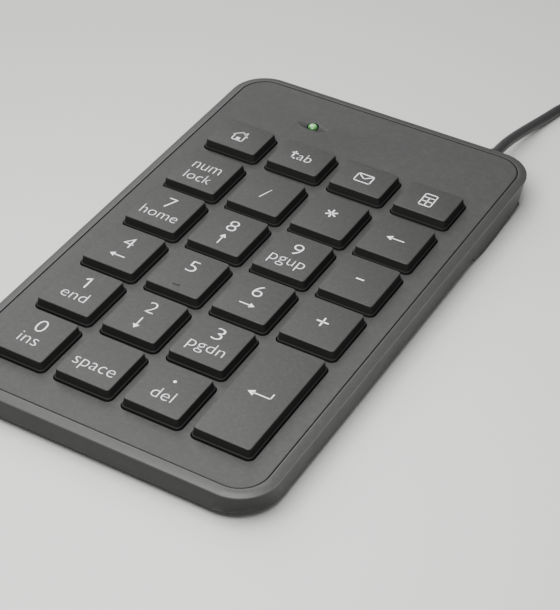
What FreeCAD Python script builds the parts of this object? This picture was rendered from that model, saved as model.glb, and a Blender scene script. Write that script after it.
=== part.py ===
import FreeCAD, Part
import math
import os
import Sketcher
from FreeCAD import Placement, Rotation, Vector

# A wired numeric keypad: 23 low-profile keys over rubber domes and a membrane, in a slim
# three-piece case, with a status light and a USB cable.
# Frame: X to the right, Y away from the user, Z up. The origin is on the desk, under the
# middle of the case. Lengths are in millimetres.

doc = FreeCAD.newDocument("numeric_keypad")
sheet = doc.addObject("Spreadsheet::Sheet", "sizes")

driving_sizes = {
    # gaps between pieces that fit together
    "easy_fit": 0.1,
    "close_fit": 0.05,
    # case, heights measured from the desk
    "case_width": 90.0,
    "case_length": 148.0,
    "corner_radius": 10.0,
    "foot_height": 1.8,
    "plate_top": 9.5,
    "wall_top": 8.5,
    "wall_thickness": 1.7,
    "wall_step": 0.1,
    "wall_draft": 0.5,
    "lower_corner_radius": 12.0,
    "floor_thickness": 1.5,
    "floor_bevel": 0.7,
    "label_width": 46.0,
    "label_depth": 26.0,
    "label_recess": 0.3,
    # bezel ring round the key plate
    "bezel_width": 2.4,
    "bezel_drop": 0.5,
    "skirt_depth": 2.5,
    "skirt_clearance": 0.1,
    "ledge_width": 1.2,
    "seam_gap": 0.28,
    # key plate
    "plate_thickness": 1.5,
    "plate_edge": 0.15,
    "opening_gap": 0.3,
    "stake_radius": 0.7,
    "stake_pin_radius": 0.45,
    "stake_head_height": 0.3,
    # key field
    "key_pitch": 19.0,
    "home_row_y": -15.9,
    "function_row_y": 40.5,
    "key_top_width": 15.0,
    "key_top_depth": 15.6,
    "function_key_depth": 11.6,
    "key_corner": 0.9,
    "key_flare": 0.3,
    "key_flange": 0.65,
    "flange_corner": 1.5,
    "flange_height": 1.4,
    "flange_edge": 0.15,
    "key_proud": 2.8,
    "key_skirt_below": 0.8,
    "key_roof": 1.1,
    "key_wall": 0.8,
    "key_edge_bevel": 0.25,
    "key_travel": 2.5,
    "homing_bar_length": 2.0,
    "homing_bar_width": 0.7,
    "homing_bar_height": 0.3,
    "homing_bar_inset": 2.4,
    # plunger, its guide and the dome under it
    "stem_width": 6.0,
    "stem_gap": 0.1,
    "stem_bottom": 6.8,
    "barb_reach": 0.4,
    "barb_height": 0.3,
    "barb_length": 3.0,
    "chimney_width": 8.4,
    "chimney_top": 8.4,
    "chimney_ledge": 7.2,
    "guide_bottom": 5.0,
    "guide_top": 5.9,
    "guide_margin": 8.2,
    "guide_rail": 1.2,
    "sheet_corner": 2.0,
    "dome_base_radius": 3.0,
    "dome_top_radius": 2.1,
    "dome_wall": 0.4,
    "dome_roof": 0.5,
    "dome_plunger_radius": 1.0,
    "dome_plunger_length": 1.1,
    "dome_gap": 0.1,
    "rubber_thickness": 0.4,
    "film_thickness": 0.12,
    "contact_radius": 2.0,
    "tail_width": 24.0,
    # enter key's stabiliser wire
    "wire_radius": 0.5,
    "wire_clearance": 0.08,
    "wire_arm": 6.0,
    "wire_half_length": 12.0,
    "wire_pin": 2.4,
    "wire_bend": 1.0,
    "wire_pivot_x": 5.0,
    "wire_pivot_z": 7.0,
    "clip_offset": 8.0,
    "clip_length": 2.0,
    "clip_width": 2.2,
    "clip_top": 7.9,
    "clip_mouth": 0.8,
    "tab_length": 2.6,
    "tab_y": 13.5,
    "tab_bottom": 7.0,
    "tab_thickness": 1.2,
    "slot_length": 1.7,
    "slot_height": 1.3,
    "window_length": 5.6,
    "window_width": 3.7,
    "window_x": 0.2,
    "window_y": 12.95,
    # fasteners
    "screw_radius": 0.95,
    "screw_length": 4.2,
    "screw_head_radius": 1.85,
    "screw_head_height": 1.1,
    "screw_recess_radius": 2.1,
    "recess_spare": 0.3,
    "pilot_depth": 2.9,
    "boss_radius": 2.3,
    "side_screw_x": 39.6,
    "end_screw_y": 65.5,
    # rubber feet
    "foot_x": 31.0,
    "foot_width": 14.0,
    "foot_depth": 6.0,
    "foot_y": -60.0,
    "rear_foot_depth": 3.8,
    "foot_seat": 0.4,
    # raised bar under the rear of the case
    "riser_depth": 1.4,
    "riser_front_y": 36.0,
    "riser_flat_front_y": 42.5,
    "riser_flat_rear_y": 48.0,
    "riser_rear_y": 64.0,
    # controller board and status light
    "board_width": 46.0,
    "board_depth": 15.0,
    "board_thickness": 1.2,
    "board_y": 58.6,
    "board_corner": 1.0,
    "board_screw_x": 20.0,
    "board_screw_radius": 0.7,
    "board_screw_head": 1.5,
    "board_screw_head_height": 0.9,
    "board_post_radius": 1.8,
    "board_hole_radius": 0.85,
    "strip_depth": 2.6,
    "strip_height": 0.6,
    "chip_x": -2.0,
    "chip_y": 59.5,
    "chip_width": 10.0,
    "chip_depth": 4.0,
    "chip_height": 1.4,
    "chip_leg_pitch": 1.27,
    "chip_leg_width": 0.45,
    "chip_leg_span": 6.0,
    "chip_leg_height": 0.2,
    "resistor_x": -8.0,
    "resistor_y": 64.0,
    "resistor_pitch": 3.2,
    "resistor_length": 2.0,
    "resistor_width": 1.25,
    "resistor_height": 0.5,
    "crystal_x": 6.5,
    "crystal_length": 5.0,
    "crystal_width": 3.2,
    "crystal_height": 1.0,
    "socket_x": 14.0,
    "socket_y": 62.0,
    "socket_width": 8.0,
    "socket_depth": 4.2,
    "socket_height": 2.6,
    "light_x": -16.0,
    "light_y": 58.1,
    "light_radius": 1.5,
    "light_rim_radius": 1.9,
    "light_rim_height": 1.0,
    "light_top": 9.9,
    "light_recess_half": 5.2,
    "light_recess_width": 4.0,
    "light_recess_depth": 0.5,
    "light_recess_trough_half": 4.4,
    "light_recess_trough_width": 0.5,
    "light_recess_trough_offset": 0.7,
    "light_hole_gap": 0.2,
    # cable
    "cable_radius": 1.5,
    "cable_exit_x": 31.0,
    "cable_exit_z": 5.8,
    "cable_hole_radius": 2.25,
    "grommet_neck_radius": 2.2,
    "grommet_flange_width": 6.4,
    "grommet_flange_height": 4.2,
    "grommet_flange_thickness": 1.0,
    "relief_root_radius": 2.45,
    "relief_tip_radius": 1.9,
    "relief_length": 2.65,
    "notch_width": 7.4,
    "grommet_gap": 0.05,
    "sheath_straight": 4.5,
    "sheath_aside": 5.5,
    "sheath_forward": 3.0,
    "core_radius": 0.3,
    "core_spread": 0.54,
    "core_straight": 2.0,
    "coil_x": 75.0,
    "coil_y": 105.0,
    "coil_inner_radius": 10.4,
    "coil_outer_radius": 25.6,
    "coil_bottom": 0.7,
    "coil_height": 6.1,
    "coil_round": 1.3,
    "tie_thickness": 0.6,
    "tie_width": 5.0,
    "tie_gap": 0.1,
    # plug
    "plug_x": 96.2,
    "plug_y": 63.0,
    "plug_axis_z": 3.9,
    "plug_neck_radius": 2.9,
    "plug_neck_length": 10.0,
    "plug_body_length": 24.0,
    "plug_body_width": 15.6,
    "plug_body_thickness": 7.8,
    "plug_round": 1.6,
    "shell_width": 12.0,
    "shell_thickness": 4.5,
    "shell_length": 12.0,
    "shell_wall": 0.3,
    "shell_seat": 2.0,
    "tongue_thickness": 1.9,
    "contact_width": 1.0,
    "contact_pitch": 2.25,
    "contact_thickness": 0.2,
}

nearly_half = 0.475  # rounds a narrow end almost fully
key_columns = (-1.5, -0.5, 0.5, 1.5)
function_keys = ("key_home_page", "key_tab", "key_mail", "key_calculator")
number_keys = (
    ("key_num_lock", "key_divide", "key_multiply", "key_backspace"),
    ("key_7", "key_8", "key_9", "key_minus"),
    ("key_4", "key_5", "key_6", "key_plus"),
    ("key_1", "key_2", "key_3"),
    ("key_0", "key_space", "key_decimal"),
)


class Size:
    """A length that follows the sheet: the number it has now, and the expression behind it."""

    def __init__(self, number, text):
        self.number = number
        self.text = text

    def __add__(self, other):
        return Size(self.number + number(other), f"({self.text} + {text(other)})")

    def __sub__(self, other):
        return Size(self.number - number(other), f"({self.text} - {text(other)})")

    def __mul__(self, other):
        return Size(self.number * number(other), f"({self.text} * {text(other)})")

    def __truediv__(self, other):
        return Size(self.number / number(other), f"({self.text} / {text(other)})")

    def __neg__(self):
        return Size(-self.number, f"(0 - {self.text})")

    __rmul__ = __mul__


def number(value):
    return value.number if isinstance(value, Size) else float(value)


def text(value):
    return value.text if isinstance(value, Size) else f"({float(value)})"


def fill_sheet():
    for row, (alias, value) in enumerate(driving_sizes.items(), start=1):
        sheet.set(f"A{row}", alias)
        sheet.set(f"B{row}", str(value))
        sheet.setAlias(f"B{row}", alias)
    doc.recompute()


def size(alias):
    return Size(float(sheet.get(alias)), f"sizes.{alias}")


def bind(obj, path, value):
    if isinstance(value, Size):
        obj.setExpression(path, value.text)


# Bodies, sketches and features


def new_body(label):
    body = doc.addObject("PartDesign::Body", label)
    body.Label = label
    body.AllowCompound = True
    return body


def origin_part(body, role):
    return next(part for part in body.Origin.OriginFeatures if part.Role == role)


def put(obj, path, x, y, z):
    """Sets a placement's position and ties each of its lengths to the sheet."""
    setattr(obj, path, Placement(Vector(number(x), number(y), number(z)), Rotation()))
    for axis, value in (("x", x), ("y", y), ("z", z)):
        bind(obj, f"{path}.Base.{axis}", value)


def new_sketch(body, name, x=0, y=0, z=0, plane="XY_Plane"):
    sketch = body.newObject("Sketcher::SketchObject", name)
    sketch.AttachmentSupport = [(origin_part(body, plane), "")]
    sketch.MapMode = "FlatFace"
    put(sketch, "AttachmentOffset", x, y, z)
    return sketch


def add_rule(sketch, name, value, kind, *where):
    rule = sketch.addConstraint(Sketcher.Constraint(kind, *where, number(value)))
    sketch.renameConstraint(rule, name)
    bind(sketch, f"Constraints.{name}", value)


def rounded_rectangle(sketch, width, depth, radius):
    """A rectangle with round corners, centred on the sketch's own origin."""
    half_w, half_d, r = number(width) / 2, number(depth) / 2, number(radius)
    first = sketch.GeometryCount
    sides = [
        ((-half_w + r, -half_d), (half_w - r, -half_d)),
        ((half_w, -half_d + r), (half_w, half_d - r)),
        ((half_w - r, half_d), (-half_w + r, half_d)),
        ((-half_w, half_d - r), (-half_w, -half_d + r)),
    ]
    corners = [(1, -1), (1, 1), (-1, 1), (-1, -1)]
    for index, (start, end) in enumerate(sides):
        across, along = corners[index]
        centre = Vector(across * (half_w - r), along * (half_d - r), 0)
        turn = math.radians(90 * index)
        corner = Part.Circle(centre, Vector(0, 0, 1), r)
        sketch.addGeometry(Part.LineSegment(Vector(*start, 0), Vector(*end, 0)))
        sketch.addGeometry(Part.ArcOfCircle(corner, turn - math.pi / 2, turn))
    lines = [first, first + 2, first + 4, first + 6]
    arcs = [first + 1, first + 3, first + 5, first + 7]
    rules = []
    for index in range(4):
        following = lines[(index + 1) % 4]
        rules.append(Sketcher.Constraint("Tangent", lines[index], 2, arcs[index], 1))
        rules.append(Sketcher.Constraint("Tangent", arcs[index], 2, following, 1))
        straight = "Horizontal" if index % 2 == 0 else "Vertical"
        rules.append(Sketcher.Constraint(straight, lines[index]))
        if index:
            rules.append(Sketcher.Constraint("Equal", arcs[0], arcs[index]))
    sketch.addConstraint(rules)
    add_rule(sketch, f"corner{first}", radius, "Radius", arcs[0])
    add_rule(sketch, f"right{first}", width / 2, "DistanceX", -1, 1, lines[1], 1)
    add_rule(sketch, f"left{first}", width / 2, "DistanceX", lines[3], 1, -1, 1)
    add_rule(sketch, f"far{first}", depth / 2, "DistanceY", -1, 1, lines[2], 1)
    add_rule(sketch, f"near{first}", depth / 2, "DistanceY", lines[0], 1, -1, 1)


def rectangle(sketch, width, depth):
    """A plain rectangle, centred on the sketch's own origin."""
    half_w, half_d = width / 2, depth / 2
    outline(sketch, [(-half_w, -half_d), (half_w, -half_d), (half_w, half_d), (-half_w, half_d)])


def circle(sketch, radius):
    ring = Part.Circle(Vector(0, 0, 0), Vector(0, 0, 1), number(radius))
    index = sketch.addGeometry(ring)
    sketch.addConstraint(Sketcher.Constraint("Coincident", index, 3, -1, 1))
    add_rule(sketch, f"radius{index}", radius, "Radius", index)


def outline(sketch, points):
    """A closed run of straight lines, each corner tied to the sheet on both axes."""
    corners = [Vector(number(x), number(y), 0) for x, y in points]
    for here, there in zip(corners, corners[1:] + corners[:1]):
        sketch.addGeometry(Part.LineSegment(here, there))
    for index in range(len(points)):
        following = (index + 1) % len(points)
        sketch.addConstraint(Sketcher.Constraint("Coincident", index, 2, following, 1))
    for index, (x, y) in enumerate(points):
        add_rule(sketch, f"x{index}", x, "DistanceX", -1, 1, index, 1)
        add_rule(sketch, f"y{index}", y, "DistanceY", -1, 1, index, 1)


def pad(body, sketch, length, name):
    feature = body.newObject("PartDesign::Pad", name)
    feature.Profile = sketch
    feature.Length = number(length)
    bind(feature, "Length", length)
    doc.recompute()
    return feature


def pocket(body, sketch, length, name):
    """Cuts upwards from the sketch, along its normal, and makes sure that something goes."""
    before = body.Tip.Shape.Volume
    feature = body.newObject("PartDesign::Pocket", name)
    feature.Profile = sketch
    feature.Length = number(length)
    bind(feature, "Length", length)
    feature.Reversed = True
    doc.recompute()
    if feature.Shape.Volume >= before - 1e-6:
        raise RuntimeError(f"{body.Label}: {name} cuts nothing")
    return feature


def loft(body, lower, upper, name):
    feature = body.newObject("PartDesign::AdditiveLoft", name)
    feature.Profile = lower
    feature.Sections = [upper]
    feature.Ruled = True
    doc.recompute()
    return feature


def build_up(body, name, levels):
    """Rounded rectangles, each a height, width, depth and corner, joined one to the next."""
    for step, (lower, upper) in enumerate(zip(levels, levels[1:])):
        ends = []
        for end, (height, width, depth, corner) in (("low", lower), ("high", upper)):
            sketch = new_sketch(body, f"{name}_{step}_{end}", z=height)
            rounded_rectangle(sketch, width, depth, corner)
            ends.append(sketch)
        loft(body, *ends, f"{name}_{step}")


def revolve(body, sketch, name):
    """A full turn of the sketch about its own vertical axis."""
    feature = body.newObject("PartDesign::Revolution", name)
    feature.Profile = sketch
    feature.ReferenceAxis = (sketch, ["V_Axis"])
    feature.Angle = 360
    doc.recompute()
    return feature


def flat_edges(shape, place, axis="Z"):
    """Names of the edges that lie in one plane across an axis."""
    found = []
    for index, edge in enumerate(shape.Edges, start=1):
        box = edge.BoundBox
        low, high = getattr(box, f"{axis}Min"), getattr(box, f"{axis}Max")
        if abs(low - place) < 1e-4 and abs(high - place) < 1e-4:
            found.append(f"Edge{index}")
    return found


def soften(body, edges, amount, name, kind="Fillet"):
    feature_base = body.Tip
    feature = body.newObject(f"PartDesign::{kind}", name)
    feature.Base = (feature_base, edges)
    path = "Radius" if kind == "Fillet" else "Size"
    setattr(feature, path, number(amount))
    bind(feature, path, amount)
    doc.recompute()
    return feature


def set_run(body, pattern, axis, spacing, count):
    """A spacing below zero runs against the axis."""
    reach = spacing * (count - 1)
    if number(reach) < 0:
        pattern.Reversed = True
        reach = -reach
    pattern.Direction = (origin_part(body, f"{axis}_Axis"), [""])
    pattern.Occurrences = count
    pattern.Length = number(reach)
    bind(pattern, "Length", reach)


def repeat(body, features, name, *runs):
    """Repeats features along X, Y or both: each run is an axis, a spacing and a count."""
    if len(runs) == 1:
        pattern = body.newObject("PartDesign::LinearPattern", name)
        pattern.Originals = features
        set_run(body, pattern, *runs[0])
    else:
        pattern = body.newObject("PartDesign::MultiTransform", name)
        pattern.Originals = features
        steps = []
        for index, run in enumerate(runs):
            step = body.newObject("PartDesign::LinearPattern", f"{name}_{index}")
            set_run(body, step, *run)
            steps.append(step)
        pattern.Transformations = steps
    body.Tip = pattern
    doc.recompute()
    return pattern


def plain_piece(label, shape):
    """A piece whose shape is worked out with Part's own functions."""
    feature = doc.addObject("Part::Feature", label)
    feature.Label = label
    feature.Shape = shape
    feature.Placement = Placement()
    return feature


# Places that several pieces share


def key_x(column):
    return size("key_pitch") * key_columns[column]


def row_y(row):
    """Row 0 is the short function row, and rows 1 to 5 come towards the user."""
    if row == 0:
        return size("function_row_y")
    return size("home_row_y") + size("key_pitch") * (3 - row)


def enter_y():
    return (row_y(4) + row_y(5)) / 2


def top_depth(kind):
    if kind == "function":
        return size("function_key_depth")
    if kind == "enter":
        return size("key_top_depth") + size("key_pitch")
    return size("key_top_depth")


def key_groups():
    """Kind, first column, first row and repeats of each block of equal keys."""
    pitch = size("key_pitch")
    back = -pitch
    return [
        ("number", 0, row_y(1), [("X", pitch, 3), ("Y", back, 5)]),
        ("column", 3, row_y(1), [("Y", back, 3)]),
        ("function", 0, row_y(0), [("X", pitch, 4)]),
        ("enter", 3, enter_y(), []),
    ]


def rubber_top():
    return board_bottom() + size("rubber_thickness")


def sheet_front_y():
    return row_y(5) - size("key_pitch") / 2


def sheet_rear_y():
    return row_y(0) + size("key_pitch") * 0.4


def sheet_outline(body, name, z, margin=0):
    """The outline that the key guide, the rubber sheet and the membrane layers share."""
    middle = (sheet_front_y() + sheet_rear_y()) / 2
    sketch = new_sketch(body, name, y=middle, z=z)
    wide = size("key_pitch") * 3 + 2 * size("guide_margin") - 2 * margin
    deep = sheet_rear_y() - sheet_front_y() - 2 * margin
    rounded_rectangle(sketch, wide, deep, size("sheet_corner") - margin / 2)
    return sketch


def board_bottom():
    return size("foot_height") + size("floor_thickness") + 3 * size("film_thickness")


def board_top():
    return board_bottom() + size("board_thickness")


def stabiliser_rest_z():
    return size("wire_pivot_z") + size("key_travel") / 2


# Case


def make_bottom_case():
    """Tray with drafted walls, a raised bar under the rear, screw bosses and a cable hole."""
    body = new_body("bottom_case")
    bottom, top, floor = size("foot_height"), size("wall_top"), size("floor_thickness")
    top_w = size("case_width") - 2 * size("wall_step")
    top_d = size("case_length") - 2 * size("wall_step")
    low_w, low_d = top_w - 2 * size("wall_draft"), top_d - 2 * size("wall_draft")
    bevel, low_corner = size("floor_bevel"), size("lower_corner_radius")
    under = (bottom, low_w - 2 * bevel, low_d - 2 * bevel, low_corner - bevel)
    wall_foot = (bottom + bevel, low_w, low_d, low_corner)
    wall_head = (top, top_w, top_d, size("corner_radius"))
    build_up(body, "walls", [under, wall_foot, wall_head])

    below = bottom - size("riser_depth")
    middle = bottom + floor / 2
    riser = new_sketch(body, "riser_profile", z=-(low_w / 2), plane="YZ_Plane")
    front, rear = size("riser_front_y"), size("riser_rear_y")
    foot = [(size("riser_flat_front_y"), below), (size("riser_flat_rear_y"), below)]
    outline(riser, [(front, middle), (front, bottom), *foot, (rear, bottom), (rear, middle)])
    pad(body, riser, low_w, "riser")

    inner_w, inner_d = top_w - 2 * size("wall_thickness"), top_d - 2 * size("wall_thickness")
    hollow = new_sketch(body, "hollow_outline", z=bottom + floor)
    rounded_rectangle(hollow, inner_w, inner_d, size("corner_radius") - size("wall_thickness"))
    pocket(body, hollow, top, "hollow")

    left, near = -size("side_screw_x"), -size("end_screw_y")
    boss = new_sketch(body, "boss_outline", left, near, middle)
    circle(boss, size("boss_radius"))
    boss_pad = pad(body, boss, size("guide_bottom") - middle, "boss")
    bore = new_sketch(body, "bore_outline", left, near, bottom)
    circle(bore, size("screw_radius") + 2 * size("easy_fit"))
    bore_cut = pocket(body, bore, size("guide_bottom"), "bore")
    recess = new_sketch(body, "head_outline", left, near, bottom)
    circle(recess, size("screw_recess_radius"))
    recess_cut = pocket(body, recess, size("screw_head_height") + size("recess_spare"), "head_recess")
    across = ("X", 2 * size("side_screw_x"), 2)
    along = ("Y", size("end_screw_y"), 3)
    repeat(body, [boss_pad, bore_cut, recess_cut], "bosses", across, along)

    rear_wall = -(size("case_length") / 2) - 1
    exit_x, exit_z = size("cable_exit_x"), size("cable_exit_z")
    cable_hole = new_sketch(body, "cable_hole_outline", exit_x, exit_z, rear_wall, "XZ_Plane")
    circle(cable_hole, size("cable_hole_radius"))
    pocket(body, cable_hole, size("wall_thickness") + 3, "cable_hole")

    label = new_sketch(body, "label_outline", z=bottom)
    rounded_rectangle(label, size("label_width"), size("label_depth"), size("key_corner"))
    pocket(body, label, size("label_recess"), "label_seat")

    fit = 2 * size("easy_fit")
    for which, y, deep, level in foot_places():
        seat = new_sketch(body, f"{which}_seat_outline", -size("foot_x"), y, level)
        rounded_rectangle(seat, size("foot_width") + fit, deep + fit, deep * nearly_half)
        cut = pocket(body, seat, size("foot_seat"), f"{which}_seat")
        repeat(body, [cut], f"{which}_seats", ("X", 2 * size("foot_x"), 2))

    strip_y, strip_z = strip_place()
    strip = new_sketch(body, "strip_outline", y=strip_y, z=strip_z)
    rectangle(strip, size("tail_width") + fit, size("strip_depth") + fit)
    pocket(body, strip, size("strip_height"), "strip_seat")

    post = new_sketch(body, "post_outline", -size("board_screw_x"), size("board_y"), middle)
    circle(post, size("board_post_radius"))
    post_pad = pad(body, post, board_bottom() - middle, "post")
    pilot_z = board_bottom() - size("board_thickness") - size("easy_fit")
    pilot = new_sketch(body, "pilot_outline", -size("board_screw_x"), size("board_y"), pilot_z)
    circle(pilot, size("board_screw_radius") + size("close_fit"))
    pilot_cut = pocket(body, pilot, 2 * size("board_thickness"), "pilot")
    repeat(body, [post_pad, pilot_cut], "posts", ("X", 2 * size("board_screw_x"), 2))
    return body


def strip_place():
    """Y and bottom of the foam strip under the front edge of the board."""
    y = size("board_y") - size("board_depth") / 2 + size("strip_depth")
    return y, size("foot_height") + size("floor_thickness") - size("strip_height")


def foot_places():
    """Name, Y, depth and seat height of the two pairs of rubber feet."""
    on_riser = (size("riser_flat_front_y") + size("riser_flat_rear_y")) / 2
    riser_level = size("foot_height") - size("riser_depth")
    return [
        ("front", size("foot_y"), size("foot_depth"), size("foot_height")),
        ("rear", on_riser, size("rear_foot_depth"), riser_level),
    ]


def make_feet(which, y, deep, level):
    """Two stuck-on rubber pads that reach from their seats down to the desk."""
    body = new_body(f"{which}_feet")
    footprint = new_sketch(body, "footprint", -size("foot_x"), y)
    rounded_rectangle(footprint, size("foot_width"), deep, deep * nearly_half)
    foot = pad(body, footprint, level + size("foot_seat"), "foot")
    repeat(body, [foot], "feet", ("X", 2 * size("foot_x"), 2))
    return body


def make_top_frame():
    """Bezel ring with a sloping top, a skirt inside the tray, a ledge and screw bosses."""
    body = new_body("top_frame")
    width, depth, corner = size("case_width"), size("case_length"), size("corner_radius")
    top, lip = size("plate_top"), size("plate_top") - size("bezel_drop")
    slope = size("bezel_width") - 2 * size("seam_gap")
    band = new_sketch(body, "band_outline", z=size("wall_top"))
    rounded_rectangle(band, width, depth, corner)
    pad(body, band, lip - size("wall_top"), "band")
    slope_head = (top, width - 2 * slope, depth - 2 * slope, corner - slope)
    build_up(body, "slope", [(lip, width, depth, corner), slope_head])

    inset = size("wall_step") + size("wall_thickness") + size("skirt_clearance")
    skirt_bottom = size("wall_top") - size("skirt_depth")
    skirt = new_sketch(body, "skirt_outline", z=skirt_bottom)
    rounded_rectangle(skirt, width - 2 * inset, depth - 2 * inset, corner - inset)
    pad(body, skirt, size("skirt_depth") + size("easy_fit"), "skirt")

    seat = size("bezel_width")
    ledge = seat + size("ledge_width")
    well = new_sketch(body, "well_outline", z=top - size("plate_thickness"))
    rounded_rectangle(well, width - 2 * seat, depth - 2 * seat, corner - seat)
    pocket(body, well, size("plate_thickness") + 1, "plate_well")
    inside = new_sketch(body, "inside_outline", z=skirt_bottom - 1)
    rounded_rectangle(inside, width - 2 * ledge, depth - 2 * ledge, corner - ledge)
    pocket(body, inside, top, "inside")

    notch = new_sketch(body, "notch_outline", size("cable_exit_x"), depth / 2, skirt_bottom - 1)
    rectangle(notch, size("notch_width"), 2 * ledge + 1)
    pocket(body, notch, top - size("plate_thickness") - skirt_bottom + 1, "cable_notch")

    left, near = -size("side_screw_x"), -size("end_screw_y")
    boss = new_sketch(body, "boss_outline", left, near, size("guide_bottom"))
    circle(boss, size("boss_radius") - size("easy_fit"))
    boss_top = top - size("plate_thickness")
    boss_pad = pad(body, boss, boss_top - size("guide_bottom"), "boss")
    bore = new_sketch(body, "bore_outline", left, near, size("guide_bottom"))
    circle(bore, size("screw_radius") + size("close_fit"))
    bore_cut = pocket(body, bore, size("pilot_depth"), "pilot")
    across = ("X", 2 * size("side_screw_x"), 2)
    along = ("Y", size("end_screw_y"), 3)
    repeat(body, [boss_pad, bore_cut], "bosses", across, along)
    return body


def make_top_plate():
    """Flat face plate with an opening for each key, a light recess and guide stakes."""
    body = new_body("top_plate")
    inset = size("bezel_width") + size("seam_gap")
    width, depth = size("case_width") - 2 * inset, size("case_length") - 2 * inset
    under = size("plate_top") - size("plate_thickness")
    face = new_sketch(body, "face_outline", z=under)
    rounded_rectangle(face, width, depth, size("corner_radius") - inset)
    pad(body, face, size("plate_thickness"), "face")
    rim = flat_edges(body.Tip.Shape, number(size("plate_top")))
    soften(body, rim, size("plate_edge"), "face_edge", "Chamfer")

    spread = 2 * (size("key_flange") + size("opening_gap"))
    corner = size("flange_corner") + size("opening_gap")
    for kind, column, y, runs in key_groups():
        hole = new_sketch(body, f"{kind}_opening", key_x(column), y, under - 1)
        rounded_rectangle(hole, size("key_top_width") + spread, top_depth(kind) + spread, corner)
        cut = pocket(body, hole, size("plate_thickness") + 2, f"{kind}_hole")
        if runs:
            repeat(body, [cut], f"{kind}_holes", *runs)

    light_x, light_y = size("light_x"), size("light_y")
    light = new_sketch(body, "light_outline", light_x, light_y, under - 1)
    circle(light, size("light_radius") + size("light_hole_gap"))
    pocket(body, light, size("plate_thickness") + 2, "light_hole")
    mouth = new_sketch(body, "recess_mouth", light_x, light_y, size("plate_top"))
    almond(mouth, size("light_recess_half"), size("light_recess_width") / 2)
    trough_y = light_y - size("light_recess_trough_offset")
    trough_z = size("plate_top") - size("light_recess_depth")
    trough = new_sketch(body, "recess_trough", light_x, trough_y, trough_z)
    almond(trough, size("light_recess_trough_half"), size("light_recess_trough_width") / 2)
    scoop = body.newObject("PartDesign::SubtractiveLoft", "light_recess")
    scoop.Profile = mouth
    scoop.Sections = [trough]
    scoop.Ruled = True
    doc.recompute()

    first_x, first_y = -size("key_pitch"), row_y(4) - size("key_pitch") / 2
    stake = new_sketch(body, "stake_outline", first_x, first_y, size("guide_top"))
    circle(stake, size("stake_radius"))
    post = pad(body, stake, under - size("guide_top"), "stake")
    head_bottom = size("guide_bottom") - size("stake_head_height")
    pin = new_sketch(body, "pin_outline", first_x, first_y, head_bottom)
    circle(pin, size("stake_pin_radius"))
    pin_pad = pad(body, pin, size("guide_top") - head_bottom, "stake_pin")
    head = new_sketch(body, "stake_head_outline", first_x, first_y, head_bottom)
    circle(head, size("stake_radius"))
    head_pad = pad(body, head, size("stake_head_height"), "stake_head")
    pitch = size("key_pitch")
    repeat(body, [post, pin_pad, head_pad], "stakes", ("X", pitch, 3), ("Y", pitch, 4))
    return body


def almond(sketch, half_length, half_width):
    """Two shallow arcs that meet in points on the sketch's own X axis."""
    left, right = Vector(-number(half_length), 0, 0), Vector(number(half_length), 0, 0)
    rise = Vector(0, number(half_width), 0)
    sketch.addGeometry(Part.Arc(right, rise, left))
    sketch.addGeometry(Part.Arc(left, -rise, right))
    tips = [Sketcher.Constraint("Coincident", 0, 2, 1, 1)]
    tips.append(Sketcher.Constraint("Coincident", 1, 2, 0, 1))
    tips.append(Sketcher.Constraint("Horizontal", 0, 1, 0, 2))
    tips.append(Sketcher.Constraint("Equal", 0, 1))
    sketch.addConstraint(tips)
    add_rule(sketch, "right_tip", half_length, "DistanceX", -1, 1, 0, 1)
    add_rule(sketch, "left_tip", half_length, "DistanceX", 0, 2, -1, 1)
    add_rule(sketch, "axis", 0, "DistanceY", -1, 1, 0, 1)
    bulge = (half_length * half_length + half_width * half_width) / (2 * half_width)
    add_rule(sketch, "bulge", bulge, "Radius", 0)


# Keys


def make_key(label, column, y, kind):
    """Hollow keycap with a flange round its foot, on a square plunger with two barbs."""
    body = new_body(label)
    put(body, "Placement", key_x(column), y, 0)
    width, depth = size("key_top_width"), top_depth(kind)
    top = size("plate_top") + size("key_proud")
    foot = size("plate_top") - size("key_skirt_below")
    shoulder = foot + size("flange_height")
    roof = top - size("key_roof")

    skirt, flare = 2 * size("key_flange"), 2 * size("key_flare")
    flange = new_sketch(body, "flange_outline", z=foot)
    rounded_rectangle(flange, width + skirt, depth + skirt, size("flange_corner"))
    pad(body, flange, size("flange_height"), "flange")
    edge = flat_edges(body.Tip.Shape, number(shoulder))
    soften(body, edge, size("flange_edge"), "flange_round")

    bevel, corner = size("key_edge_bevel"), size("key_corner")
    low = shoulder - 2 * size("flange_edge")
    cap_foot = (low, width + flare, depth + flare, corner + size("key_flare"))
    cap_head = (top - bevel, width, depth, corner)
    face = (top, width - 2 * bevel, depth - 2 * bevel, corner - bevel)
    build_up(body, "cap", [cap_foot, cap_head, face])

    wall = 2 * size("key_wall")
    hollow = new_sketch(body, "hollow_outline", z=foot)
    rounded_rectangle(hollow, width - wall, depth - wall, size("key_corner"))
    pocket(body, hollow, roof - foot, "hollow")

    bottom = size("stem_bottom")
    stem = new_sketch(body, "stem_outline", z=bottom)
    rectangle(stem, size("stem_width"), size("stem_width"))
    pad(body, stem, roof - bottom + size("key_roof") / 4, "stem")
    barb = new_sketch(body, "barb_outline", z=bottom)
    rectangle(barb, size("stem_width") + 2 * size("barb_reach"), size("barb_length"))
    pad(body, barb, size("barb_height"), "barbs")
    return body


def add_homing_bar(body):
    """A small raised bar near the front edge of the middle key."""
    top = size("plate_top") + size("key_proud")
    front = size("homing_bar_inset") - size("key_top_depth") / 2
    bar = new_sketch(body, "homing_bar_outline", y=front, z=top - size("homing_bar_height"))
    length, width = size("homing_bar_length"), size("homing_bar_width")
    rounded_rectangle(bar, length, width, width * nearly_half)
    pad(body, bar, 2 * size("homing_bar_height"), "homing_bar")


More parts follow.
